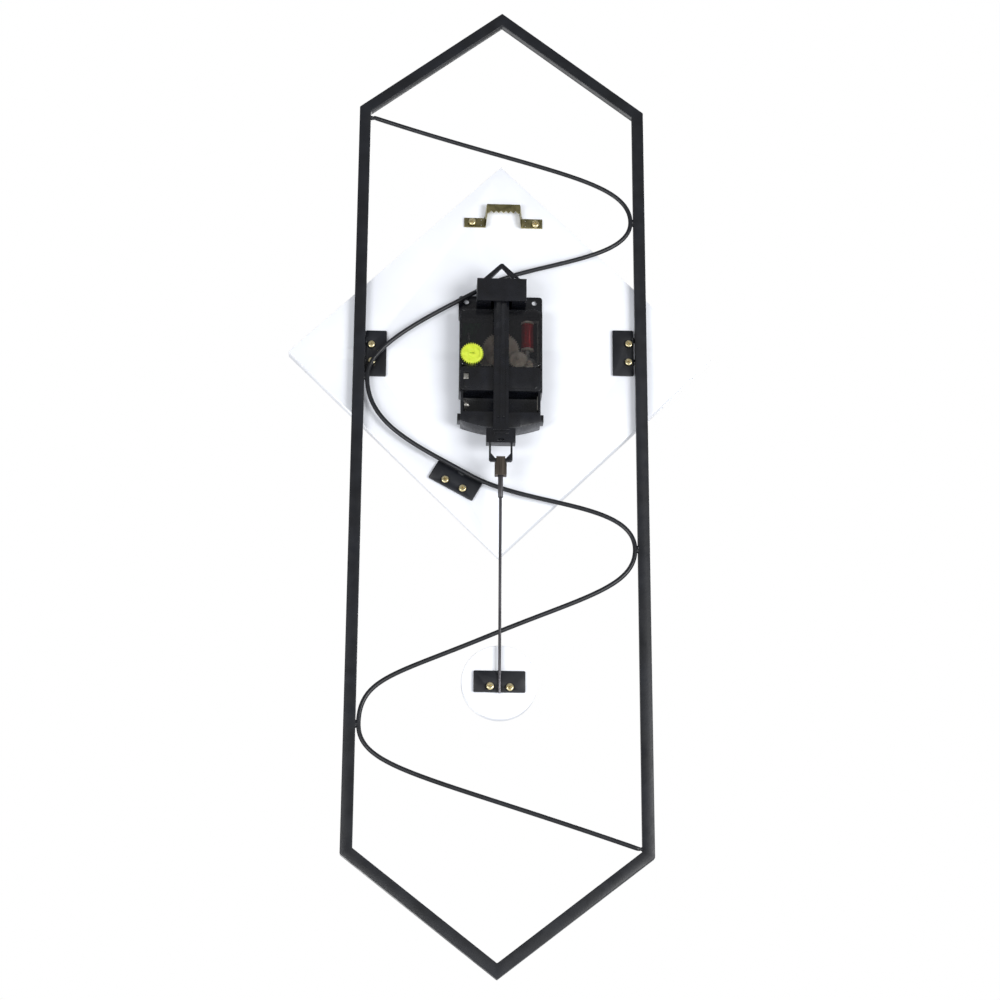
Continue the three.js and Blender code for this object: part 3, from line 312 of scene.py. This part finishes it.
# ------------------------------------------------------------------ weld beads
# Short MIG tacks join the rod to the rails and the plates to the frame: lumps of weld metal two or
# three millimetres across that run into each other, painted over with the rest.
def weld_run(spots, name, size=1.5 * MM, spread=1.3 * MM, seed=1):
    """Beads at these spots, each three lumps in a line, grown together into one skin. A spot is its
    place and the direction of its run."""
    rng = random.Random(seed)
    lumps = []
    for place, run in spots:
        for step in (-1, 0, 1):
            shift = Vector([rng.uniform(-0.2, 0.2) * size for _ in range(3)])
            reach = [size * rng.uniform(0.85, 1.15) for _ in range(3)]
            bpy.ops.object.select_all(action="DESELECT")
            centre = Vector(place) + Vector(run) * step * spread + shift
            bpy.ops.mesh.primitive_ico_sphere_add(subdivisions=3, radius=1, location=centre, scale=reach)
            lumps.append(bpy.context.object)
    for lump in lumps:
        lump.select_set(True)
    bpy.context.view_layer.objects.active = lumps[0]
    bpy.ops.object.join()
    bead = bpy.context.object
    bead.name = name
    only(bead)
    bpy.ops.object.transform_apply(location=True, rotation=True, scale=True)
    shape_with(bead, "REMESH", mode="VOXEL", voxel_size=0.25 * MM)
    shape_with(bead, "SMOOTH", factor=0.6, iterations=3)
    bpy.ops.object.shade_smooth()
    return bead


bend_x = rod_high.x - 0.2 * MM
bead_y = (rod_low.y + rod_high.y) / 2 - 0.4 * MM
end_inset = 1.6 * MM
bends = [(-1, 183.4), (1, 62.4), (-1, -60.6), (1, -184.6)]
up = (0, 0, 1)
bead_spots = [((side * bend_x, bead_y, frame_middle + z * MM), up) for side, z in bends]
bead_spots.append(((bend_x, bead_y, rod_high.z - end_inset), (-0.9, 0, -0.3)))
bead_spots.append(((-bend_x, bead_y, rod_low.z + end_inset), (0.9, 0, 0.3)))
rod_welds = weld_run(bead_spots, "rod_weld_beads", seed=4)
settle(rod_welds, black_coat, body="clock")


# ------------------------------------------------------------------ fixing plates
# Four blanked steel plates, 34 by 14.5 by 1.5 mm, each with two screw holes. Two are welded to the rails
# and one to the scroll rod, to carry the dial. The fourth is welded to the pendulum rod for the bob.
def tidy_copy(node, name, edge, segments=2, sharp=40):
    """A copy of a CAD node with flat faces made whole and its sharp edges rounded."""
    piece = copy_of(node, name)
    bpy.ops.object.mode_set(mode="EDIT")
    bpy.ops.mesh.select_all(action="SELECT")
    bpy.ops.mesh.dissolve_limited(angle_limit=math.radians(1))
    bpy.ops.object.mode_set(mode="OBJECT")
    round_edges(piece, edge, segments, sharp)
    return piece


def finish_copies(pieces, material, sharp=50, segments=2):
    """Copies CAD nodes, rounds their edges and gives them one finish. Each piece is a node, the name of
    its copy and the width of its rounded edges."""
    for node, name, edge in pieces:
        settle(tidy_copy(node, name, edge, segments, sharp), material, [node])


plate_edge = 0.22 * MM
finish_copies([
    ("plate_left", "fixing_plate_left", plate_edge), ("plate_right", "fixing_plate_right", plate_edge),
    ("plate_middle", "fixing_plate_middle", plate_edge), ("bob_plate", "bob_fixing_plate", plate_edge)],
    black_coat)

plate_bead = 1.2 * MM
plate_spots = []
for side, place in ((1, "right"), (-1, "left")):
    low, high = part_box(f"plate_{place}")
    rail_edge = high.x if side > 0 else low.x
    for share in (0.3, 0.78):
        plate_spots.append(((rail_edge - side * 0.3 * MM, high.y, low.z + share * (high.z - low.z)), up))
low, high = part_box("plate_middle")
crossing = ((low.x + high.x) / 2 - 4 * MM, high.y + 0.4 * MM, (low.z + high.z) / 2 + 4.6 * MM)
plate_spots.append((crossing, (0.87, 0, 0.49)))
plate_welds = weld_run(plate_spots, "plate_weld_beads", size=plate_bead, seed=9)
settle(plate_welds, black_coat, body="clock")

low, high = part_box("bob_plate")
bob_bead_y = high.y + 0.5 * MM
bob_spots = [((0, bob_bead_y, high.z - 1.2 * MM), (1, 0, 0)), ((0, bob_bead_y, low.z + 4 * MM), up)]
bob_welds = weld_run(bob_spots, "bob_weld_beads", size=plate_bead, spread=0.9 * MM, seed=2)
settle(bob_welds, black_coat, body="bob_rod")


# ------------------------------------------------------------------ pan-head screws
# Brass-plated steel wood screws with Phillips recesses: two through each plate and each hanger tab.
# They are cold headed, so the head is a smooth low dome and the cross has tapered walls.
def plated_brass():
    # Bright brass plating, a pale gold with slightly duller patches where it has been handled.
    material, tree, shader, place = new_finish("bright_brass_plate", {"Metallic": 1.0, "Roughness": 0.24})
    mottle(tree, shader, place, 3 * MM, "#DCCB96", "#FBF1C9", 0.3, 0.7)
    vary_roughness(tree, shader, place, 1.5 * MM, 0.18, 0.38)
    return material


screw_brass = plated_brass()
head_low, head_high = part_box("plate_screw_left_1")
head_radius = (head_high.x - head_low.x) / 2
head_height = 1.3 * MM
head_dome = 0.95 * MM
shank_radius = 1.2 * MM
point_length = 1.8 * MM
recess_foot = 0.35 * MM
recess_mouth = 2.0 * MM
recess_width = 0.22
plate_screw_length = 6
bob_screw_length = 4.5


def turned_screw(length):
    """A screw along -Y, with the top of its head at the origin."""
    bpy.ops.object.select_all(action="DESELECT")
    bpy.ops.mesh.primitive_cylinder_add(vertices=40, radius=head_radius, depth=head_height,
                                        location=(0, 0, -head_height / 2))
    screw = bpy.context.object
    bpy.ops.object.mode_set(mode="EDIT")
    bpy.ops.mesh.select_all(action="DESELECT")
    bpy.ops.object.mode_set(mode="OBJECT")
    for face in screw.data.polygons:
        face.select = face.normal.z < -0.9
    bpy.ops.object.mode_set(mode="EDIT")
    bpy.ops.mesh.select_mode(type="FACE")
    bpy.ops.mesh.inset(thickness=head_radius - shank_radius)
    bpy.ops.mesh.extrude_region_move(TRANSFORM_OT_translate={"value": (0, 0, -(length - 2 * MM))})
    bpy.ops.mesh.extrude_region_move(TRANSFORM_OT_translate={"value": (0, 0, -point_length)})
    bpy.ops.transform.resize(value=(0.1, 0.1, 1))
    bpy.ops.mesh.select_all(action="DESELECT")
    bpy.ops.object.mode_set(mode="OBJECT")
    for face in screw.data.polygons:
        face.select = face.normal.z > 0.9
    bpy.ops.object.mode_set(mode="EDIT")
    bpy.ops.mesh.bevel(offset=head_dome, segments=6, profile=0.5)
    bpy.ops.object.mode_set(mode="OBJECT")

    bpy.ops.object.select_all(action="DESELECT")
    wings = []
    for turn in (0, math.pi / 2):
        bpy.ops.mesh.primitive_cone_add(vertices=4, radius1=recess_foot, radius2=recess_mouth, depth=1.5 * MM,
                                        rotation=(0, 0, math.pi / 4), location=(0, 0, -0.25 * MM))
        wing = bpy.context.object
        bpy.ops.object.transform_apply(location=True, rotation=True, scale=True)
        wing.scale = (1, recess_width, 1) if turn == 0 else (recess_width, 1, 1)
        bpy.ops.object.transform_apply(location=False, rotation=False, scale=True)
        wings.append(wing)
    for wing in wings:
        shape_with(screw, "BOOLEAN", operation="DIFFERENCE", object=wing, solver="EXACT")
        bpy.data.objects.remove(wing)
    only(screw)
    screw.rotation_euler = (-math.pi / 2, 0, 0)
    bpy.ops.object.transform_apply(location=True, rotation=True, scale=True)
    bpy.ops.object.shade_smooth_by_angle(angle=math.radians(30))
    return screw


turns = random.Random(7)
patterns = {length: turned_screw(length * MM) for length in (plate_screw_length, bob_screw_length)}
screw_nodes = [f"plate_screw_{place}_{i}" for place in ("left", "right", "middle") for i in (1, 2)]
screw_nodes += ["hanger_screw_1", "hanger_screw_2", "bob_screw_1", "bob_screw_2"]
for node in screw_nodes:
    low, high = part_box(node)
    pattern = patterns[bob_screw_length if node.startswith("bob") else plate_screw_length]
    screw = bpy.data.objects.new(node.replace("screw", "pan_head_screw"), pattern.data.copy())
    bpy.context.scene.collection.objects.link(screw)
    place = Matrix.Translation(((low.x + high.x) / 2, high.y, (low.z + high.z) / 2))
    screw.data.transform(place @ Matrix.Rotation(turns.uniform(0, math.pi), 4, "Y"))
    settle(screw, screw_brass, [node])
for pattern in patterns.values():
    bpy.data.objects.remove(pattern)


# ------------------------------------------------------------------ toothed hanger strip
# A strip of 0.8 mm brass-plated steel, pressed so that its toothed middle stands 4 mm off the dial. The
# nail sits in a notch. Each tab has its screw hole and two small pin holes by the fold.
def pressed_brass():
    # Rolled strip with a brass wash: darker and greener than the screws, with fine rolling lines along X.
    material, tree, shader, place = new_finish("brass_washed_strip", {"Metallic": 1.0, "Roughness": 0.2})
    mottle(tree, shader, place, 6 * MM, "#77714F", "#BDB385", 0.3, 0.7)
    stretch = add(tree, "ShaderNodeMapping", {"Scale": (0.06, 1, 1)}, {"Vector": place})
    lines = add(tree, "ShaderNodeTexNoise", {"Scale": 1 / (0.25 * MM), "Detail": 2},
                {"Vector": stretch.outputs["Vector"]})
    relief(tree, shader, lines.outputs["Fac"], 0.012 * MM)
    return material


hanger = tidy_copy("sawtooth_hanger", "toothed_hanger_strip", 0.12 * MM, sharp=25)
low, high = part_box("sawtooth_hanger")
tab_middle_z = (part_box("hanger_screw_1")[0].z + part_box("hanger_screw_1")[1].z) / 2
pin_hole_radius = 0.5 * MM
pin_hole_x = 15.6 * MM
pin_hole_rise = 2 * MM
for side in (-1, 1):
    for rise in (-pin_hole_rise, pin_hole_rise):
        bpy.ops.object.select_all(action="DESELECT")
        bpy.ops.mesh.primitive_cylinder_add(
            vertices=16, radius=pin_hole_radius, depth=6 * MM, rotation=(math.pi / 2, 0, 0),
            location=((low.x + high.x) / 2 + side * pin_hole_x, low.y, tab_middle_z + rise))
        pin_hole = bpy.context.object
        shape_with(hanger, "BOOLEAN", operation="DIFFERENCE", object=pin_hole, solver="EXACT")
        bpy.data.objects.remove(pin_hole)
only(hanger)
bpy.ops.object.shade_smooth_by_angle(angle=math.radians(30))
settle(hanger, pressed_brass(), ["sawtooth_hanger"])


# ------------------------------------------------------------------ dial panel
# A 207 mm square of 9 mm fibreboard turned on its corner, edges sanded round and sprayed with white
# lacquer on every side. The front has twelve slim black hour bars.
def white_lacquer():
    # Sprayed polyurethane on fibreboard: cool white, with a soft, barely uneven gloss.
    material, tree, shader, place = new_finish("sprayed_white_lacquer", {
        "Roughness": 0.34, "IOR": 1.5, "Coat Weight": 0.25, "Coat Roughness": 0.2})
    mottle(tree, shader, place, 60 * MM, "#EEF1F8", "#F6F9FF")
    vary_roughness(tree, shader, place, 25 * MM, 0.3, 0.42)
    ripple = add(tree, "ShaderNodeTexNoise", {"Scale": 1 / (4 * MM), "Detail": 2}, {"Vector": place})
    relief(tree, shader, ripple.outputs["Fac"], 0.02 * MM)
    return material


lacquer = white_lacquer()
dial = tidy_copy("dial_panel", "lacquered_dial_panel", 0.7 * MM, segments=3, sharp=60)
settle(dial, lacquer, ["dial_panel"])

low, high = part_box("dial_panel")
shaft_z = (low.z + high.z) / 2


def satin_ink():
    # Screen-printed black ink on the lacquer and baked paint on the hands: deep black, even satin.
    material, tree, shader, place = new_finish("satin_black_ink", {"Roughness": 0.38, "IOR": 1.5})
    mottle(tree, shader, place, 12 * MM, "#101113", "#17181B")
    return material


hand_black = satin_ink()
bar_end = 98 * MM
bars = []
for hour in range(12):
    long_bar = hour % 3 == 0
    length = (11 if long_bar else 7) * MM
    width = (2.4 if long_bar else 1.4) * MM
    bpy.ops.object.select_all(action="DESELECT")
    bpy.ops.mesh.primitive_cube_add(size=1, location=(0, low.y - 0.12 * MM, bar_end - length / 2),
                                    scale=(width, 0.3 * MM, length))
    bar = bpy.context.object
    bpy.ops.object.transform_apply(location=True, rotation=True, scale=True)
    round_edges(bar, 0.1 * MM)
    turn = Matrix.Rotation(math.radians(30) * hour, 4, "Y")
    bar.data.transform(Matrix.Translation((0, 0, shaft_z)) @ turn)
    bars.append(bar)
bpy.ops.object.select_all(action="DESELECT")
for bar in bars:
    bar.select_set(True)
bpy.context.view_layer.objects.active = bars[0]
bpy.ops.object.join()
hour_bars = bpy.context.object
hour_bars.name = "printed_hour_bars"
settle(hour_bars, hand_black, body="clock")


# ------------------------------------------------------------------ hands
# Stamped aluminium hands, painted satin black, pressed on their tubes in front of the dial. A small
# domed cap closes the tube of the second hand.
finish_copies([(hand, f"stamped_{hand}", 0.12 * MM) for hand in ("hour_hand", "minute_hand", "second_hand")],
              hand_black)
cap_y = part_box("second_hand")[0].y - 0.3 * MM
bpy.ops.object.select_all(action="DESELECT")
bpy.ops.mesh.primitive_cylinder_add(vertices=48, radius=2.2 * MM, depth=0.9 * MM,
                                    rotation=(math.pi / 2, 0, 0), location=(0, cap_y, shaft_z))
cap = bpy.context.object
cap.name = "second_hand_cap"
round_edges(cap, 0.3 * MM, segments=4)
settle(cap, hand_black, body="second_arbor")


# ------------------------------------------------------------------ shaft fittings
# The movement's threaded brass bushing comes through the dial, with a washer and a thin hexagon nut.
def machined_brass():
    # Free-cutting brass straight off the lathe: clean yellow with fine turning rings about the shaft.
    material, tree, shader, place = new_finish("turned_brass", {"Metallic": 1.0, "Roughness": 0.22})
    mottle(tree, shader, place, 5 * MM, "#C09A4A", "#D9B766")
    centre = add(tree, "ShaderNodeMapping", {"Location": (0, 0, -shaft_z)}, {"Vector": place})
    turning = {"wave_type": "RINGS", "rings_direction": "Y", "Scale": 1 / (1.2 * MM)}
    rings = add(tree, "ShaderNodeTexWave", turning, {"Vector": centre.outputs["Vector"]})
    relief(tree, shader, rings.outputs["Fac"], 0.01 * MM)
    return material


fitting_edge = 0.2 * MM
finish_copies([
    ("hex_nut", "hexagon_nut", fitting_edge), ("shaft_washer", "flat_washer", fitting_edge),
    ("threaded_bushing", "brass_bushing", fitting_edge)], machined_brass(), sharp=40)


# ------------------------------------------------------------------ movement case
# A black ABS moulding with the gear room above, the room for one AA cell below it, and a thin flange at
# the top with two fixing holes. It is satin from a fine spark-eroded mould.
def moulded_black():
    # Injection-moulded ABS: near black, with soft dark-grey handling marks and a fine eroded grain, drawn at
    # 0.5 mm so that it shows.
    material, tree, shader, place = new_finish("moulded_black_abs", {"Roughness": 0.28, "IOR": 1.53})
    mottle(tree, shader, place, 9 * MM, "#08090D", "#11131A", 0.3, 0.7)
    vary_roughness(tree, shader, place, 6 * MM, 0.2, 0.36)
    grain = add(tree, "ShaderNodeTexNoise", {"Scale": 1 / (0.5 * MM), "Detail": 2}, {"Vector": place})
    relief(tree, shader, grain.outputs["Fac"], 0.02 * MM)
    return material


black_abs = moulded_black()
finish_copies([("movement_case", "moulded_movement_case", 0.3 * MM)], black_abs)
finish_copies([("terminal_panel", "raised_terminal_panel", 0.35 * MM)], black_abs,
              segments=3)
finish_copies([("hanger_bracket", "moulded_hanger_bracket", 0.3 * MM)], black_abs)


# ------------------------------------------------------------------ smoked cover
# Clear polystyrene with a smoke tint over the gears, moulded with rounded corners and polished.
def smoked_styrene():
    # Smoke-tinted crystal polystyrene: glossy, and clear enough to show the gears and the red coil dimly.
    material, tree, shader, place = new_finish("smoked_polystyrene", {
        "Base Color": colour("#121317"), "Roughness": 0.12, "IOR": 1.59, "Alpha": 0.42,
        "Coat Weight": 0.5, "Coat Roughness": 0.05})
    scuff = add(tree, "ShaderNodeTexNoise", {"Scale": 1 / (2.5 * MM), "Detail": 5}, {"Vector": place})
    relief(tree, shader, scuff.outputs["Fac"], 0.02 * MM)
    return material


finish_copies([("movement_cover", "smoked_gear_cover", 0.5 * MM)], smoked_styrene(),
              segments=3)


# ------------------------------------------------------------------ gear train
# Natural acetal wheels and pinions, moulded in one with their arbors. Each keeps its true teeth.
def natural_acetal():
    # Unpigmented acetal: milky, slightly warm, and a little waxy where light goes in.
    material, tree, shader, place = new_finish("natural_acetal", {
        "Roughness": 0.42, "IOR": 1.48, "Subsurface Weight": 0.15, "Subsurface Scale": 0.6 * MM})
    mottle(tree, shader, place, 4 * MM, "#C9BBAA", "#E2D6C8")
    return material


acetal = natural_acetal()
pale_wheels = ("fifth_wheel", "second_wheel", "centre_wheel", "cannon_pinion", "hour_wheel", "minute_wheel")
tooth_edge = 0.05 * MM
finish_copies([(wheel, f"moulded_{wheel}", tooth_edge) for wheel in pale_wheels], acetal,
              segments=1)


def black_acetal():
    # Acetal with carbon black, for the one dark wheel: waxy satin, a touch lighter where it is worn.
    material, tree, shader, place = new_finish("black_acetal", {"Roughness": 0.4, "IOR": 1.48})
    mottle(tree, shader, place, 4 * MM, "#0E0F12", "#1B1C20")
    return material


finish_copies([("third_wheel", "moulded_third_wheel", tooth_edge)], black_acetal(),
              segments=1)


# ------------------------------------------------------------------ setting wheel
# The thumb wheel that sets the hands: bright lime plastic with thirty coarse teeth, a shallow ring in its
# face and a small slot at the centre.
def lime_plastic():
    # Pigmented polypropylene: a loud yellow-green, evenly satin, slightly see-through at the teeth.
    material, tree, shader, place = new_finish("lime_polypropylene", {
        "Roughness": 0.4, "IOR": 1.49, "Subsurface Weight": 0.1, "Subsurface Scale": 0.8 * MM})
    mottle(tree, shader, place, 3 * MM, "#BFD032", "#D3E24C")
    return material


thumb = tidy_copy("setting_wheel", "lime_setting_wheel", 0.12 * MM, segments=2, sharp=50)
low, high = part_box("setting_wheel")
face_centre = ((low.x + high.x) / 2, high.y, (low.z + high.z) / 2)
ring_radius = 5.6 * MM
boss_radius = 2.6 * MM
slot_size = (3.6 * MM, 3.4 * MM, 1.3 * MM)
bpy.ops.object.select_all(action="DESELECT")
bpy.ops.mesh.primitive_cylinder_add(vertices=64, radius=ring_radius, depth=1.2 * MM,
                                    rotation=(math.pi / 2, 0, 0), location=face_centre)
ring = bpy.context.object
bpy.ops.mesh.primitive_cylinder_add(vertices=48, radius=boss_radius, depth=2 * MM,
                                    rotation=(math.pi / 2, 0, 0), location=face_centre)
boss = bpy.context.object
shape_with(ring, "BOOLEAN", operation="DIFFERENCE", object=boss, solver="EXACT")
bpy.data.objects.remove(boss)
bpy.ops.mesh.primitive_cube_add(size=1, location=face_centre, scale=slot_size)
slot = bpy.context.object
bpy.ops.object.transform_apply(location=True, rotation=True, scale=True)
for cutter in (ring, slot):
    shape_with(thumb, "BOOLEAN", operation="DIFFERENCE", object=cutter, solver="EXACT")
    bpy.data.objects.remove(cutter)
only(thumb)
bpy.ops.object.shade_smooth_by_angle(angle=math.radians(34))
settle(thumb, lime_plastic(), ["setting_wheel"])


# ------------------------------------------------------------------ stepping motor and electrics
# A coil of red enamelled wire on a pale bobbin drives the rotor through a nickel-iron stator, and a second
# coil drives the pendulum. A small green board carries the quartz crystal. The battery's contacts, the
# arm's pin and its magnet are nickel plated.
def enamelled_wire():
    # Copper wire in red polyurethane enamel: glossy and metallic, each turn catching its own light.
    material, tree, shader, place = new_finish("red_enamelled_wire", {
        "Metallic": 0.55, "Roughness": 0.25, "Coat Weight": 0.6, "Coat Roughness": 0.1})
    mottle(tree, shader, place, 1.5 * MM, "#B0121F", "#D8202E")
    return material


def nickel_plate():
    # Nickel-plated spring steel and nickel-iron laminations: grey-white, fine rolled grain.
    material, tree, shader, place = new_finish("nickel_plate", {"Metallic": 1.0, "Roughness": 0.3})
    mottle(tree, shader, place, 4 * MM, "#9C9A94", "#C6C4BE")
    vary_roughness(tree, shader, place, 1.5 * MM, 0.22, 0.4)
    return material


def solder_mask():
    # Green solder mask on a phenolic board, glossy over faint copper tracks.
    material, tree, shader, place = new_finish("green_solder_mask", {"Roughness": 0.3, "IOR": 1.5})
    mottle(tree, shader, place, 2 * MM, "#0F2A18", "#1F4A2C", 0.45, 0.55)
    return material


def wound_coil(name, radius, low_z, high_z, centre, wire=0.16 * MM):
    """A single layer of round wire about an upright line, wound from the low end to the high end."""
    pitch = 2.05 * wire
    rounds = int((high_z - low_z - 2 * wire) / pitch)
    bpy.ops.object.select_all(action="DESELECT")
    bpy.ops.mesh.primitive_circle_add(vertices=6, radius=wire, rotation=(math.pi / 2, 0, 0),
                                      location=(radius - wire, 0, low_z + wire))
    coil = bpy.context.object
    coil.name = name
    bpy.ops.object.transform_apply(location=True, rotation=True, scale=True)
    shape_with(coil, "SCREW", angle=2 * math.pi, screw_offset=pitch, iterations=rounds, steps=28,
               render_steps=28, axis="Z", use_merge_vertices=False)
    coil.data.transform(Matrix.Translation((centre.x, centre.y, 0)))
    only(coil)
    bpy.ops.object.mode_set(mode="EDIT")
    bpy.ops.mesh.select_all(action="SELECT")
    bpy.ops.mesh.fill_holes(sides=8)
    bpy.ops.mesh.normals_make_consistent(inside=False)
    bpy.ops.object.mode_set(mode="OBJECT")
    bpy.ops.object.shade_smooth()
    return coil


red_wire = enamelled_wire()
nickel = nickel_plate()
low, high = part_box("coil_winding")
coil = wound_coil("red_motor_winding", (high.x - low.x) / 2, low.z, high.z, (low + high) / 2)
settle(coil, red_wire, ["coil_winding"])
finish_copies([("coil_bobbin", "moulded_bobbin", 0.1 * MM)], acetal)
finish_copies([("stator", "stamped_stator", 0.1 * MM)], nickel)
finish_copies([("circuit_board", "green_circuit_board", 0.08 * MM)], solder_mask(), sharp=40)
finish_copies([("quartz_crystal", "crystal_can", 0.15 * MM)], nickel)
finish_copies([("rotor", "magnet_rotor", 0.08 * MM)], acetal)
finish_copies([("pendulum_coil", "pendulum_drive_coil", 0.2 * MM)], red_wire)
finish_copies([
    ("battery_plate", "sprung_battery_plate", 0.08 * MM), ("pivot_pin", "steel_pivot_pin", 0.15 * MM),
    ("arm_magnet", "disc_magnet", 0.2 * MM)], nickel)

# the spring's tail, folded flat under the little window of the terminal panel
window_x = 23.7 * MM
window_z = shaft_z - 22.5 * MM
tail_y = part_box("terminal_panel")[1].y - 1.3 * MM
tail_size = (3.4 * MM, 0.4 * MM, 4.6 * MM)
fold_rise = 0.3 * MM
bpy.ops.object.select_all(action="DESELECT")
bpy.ops.mesh.primitive_cube_add(size=1, location=(window_x, tail_y, window_z), scale=tail_size)
tail = bpy.context.object
tail.name = "folded_contact_tail"
bpy.ops.object.transform_apply(location=True, rotation=True, scale=True)
bpy.ops.object.mode_set(mode="EDIT")
bpy.ops.mesh.select_all(action="SELECT")
bpy.ops.mesh.subdivide(number_cuts=3)
bpy.ops.object.mode_set(mode="OBJECT")
for vertex in tail.data.vertices:
    vertex.co.y += fold_rise * math.cos((vertex.co.z - window_z) / (1.5 * MM))
round_edges(tail, 0.08 * MM)
settle(tail, nickel, body="clock")

# the wire spring that presses on the cell
spring = copy_of("battery_spring", "battery_wire_spring")
bpy.ops.object.mode_set(mode="EDIT")
bpy.ops.mesh.select_all(action="SELECT")
bpy.ops.mesh.tris_convert_to_quads(face_threshold=math.radians(60), shape_threshold=math.radians(180))
bpy.ops.object.mode_set(mode="OBJECT")
shape_with(spring, "SUBSURF", levels=2, render_levels=2)
only(spring)
bpy.ops.object.shade_smooth()
settle(spring, nickel, ["battery_spring"])


# ------------------------------------------------------------------ pendulum arm
# The black ABS arm swings on its pin in the bracket. It is grooved down the middle and ends in a block
# and a square hook for the pendulum rod. The block has two grip ribs, with two small pips above them.
finish_copies([("pendulum_arm", "moulded_pendulum_arm", 0.25 * MM)], black_abs)
arm_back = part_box("pendulum_arm")[1].y
rib_size = (10.6 * MM, 1.0 * MM, 0.9 * MM)
rib_drops = (63.6 * MM, 66.2 * MM)
pip_radius = 0.55 * MM
pip_x = 1.9 * MM
pip_drop = 54 * MM
ribs = []
for drop in rib_drops:
    bpy.ops.object.select_all(action="DESELECT")
    bpy.ops.mesh.primitive_cube_add(size=1, location=(0, arm_back + 0.1 * MM, shaft_z - drop), scale=rib_size)
    rib = bpy.context.object
    bpy.ops.object.transform_apply(location=True, rotation=True, scale=True)
    round_edges(rib, 0.25 * MM)
    ribs.append(rib)
for side in (-1, 1):
    bpy.ops.mesh.primitive_uv_sphere_add(segments=20, ring_count=10, radius=pip_radius,
                                         location=(side * pip_x, arm_back - 0.25 * MM, shaft_z - pip_drop))
    pip = bpy.context.object
    bpy.ops.object.shade_smooth()
    ribs.append(pip)
bpy.ops.object.select_all(action="DESELECT")
for rib in ribs:
    rib.select_set(True)
bpy.context.view_layer.objects.active = ribs[0]
bpy.ops.object.join()
grip = bpy.context.object
grip.name = "arm_block_ribs"
settle(grip, black_abs, body="pendulum_arm")


# ------------------------------------------------------------------ pendulum rod, sleeve and clip
# A 2 mm drawn steel rod, left bare, in a rolled sleeve that is crimped into a folded clip. The clip drops
# over the arm's hook.
def drawn_steel(name, dark, light, roughness):
    # Bare cold-drawn mild steel: warm grey with fine draw lines along the rod and brown tarnish.
    material, tree, shader, place = new_finish(name, {"Metallic": 0.9, "Roughness": roughness})
    stretch = add(tree, "ShaderNodeMapping", {"Scale": (1, 1, 0.05)}, {"Vector": place})
    mottle(tree, shader, stretch.outputs["Vector"], 1.2 * MM, dark, light, 0.3, 0.7)
    return material


rod_steel = drawn_steel("drawn_steel_rod", "#4A494B", "#77757A", 0.34)
clip_steel = drawn_steel("tarnished_steel_clip", "#4C4641", "#746B62", 0.42)


def round_bar(name, node, sides=32):
    """An upright round bar that fills a CAD node's box."""
    low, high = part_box(node)
    bpy.ops.object.select_all(action="DESELECT")
    bpy.ops.mesh.primitive_cylinder_add(vertices=sides, radius=(high.x - low.x) / 2, depth=high.z - low.z,
                                        location=(low + high) / 2)
    piece = bpy.context.object
    piece.name = name
    return piece


pendulum_rod = round_bar("drawn_pendulum_rod", "pendulum_rod")
round_edges(pendulum_rod, 0.25 * MM, segments=3)
settle(pendulum_rod, rod_steel, ["pendulum_rod"])
finish_copies([("rod_sleeve", "rolled_rod_sleeve", 0.08 * MM)], rod_steel)
finish_copies([("rod_clip", "folded_rod_clip", 0.2 * MM)], clip_steel)


# ------------------------------------------------------------------ bob
# A turned disc of the dial's fibreboard, 50 mm across and 6 mm thick, lacquered white and screwed to the
# plate at the foot of the rod.
low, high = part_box("bob_disc")
bpy.ops.object.select_all(action="DESELECT")
bpy.ops.mesh.primitive_cylinder_add(vertices=160, radius=(high.x - low.x) / 2, depth=high.y - low.y,
                                    rotation=(math.pi / 2, 0, 0), location=(low + high) / 2)
bob = bpy.context.object
bob.name = "lacquered_bob_disc"
round_edges(bob, 0.6 * MM, segments=3)
settle(bob, lacquer, ["bob_disc"])
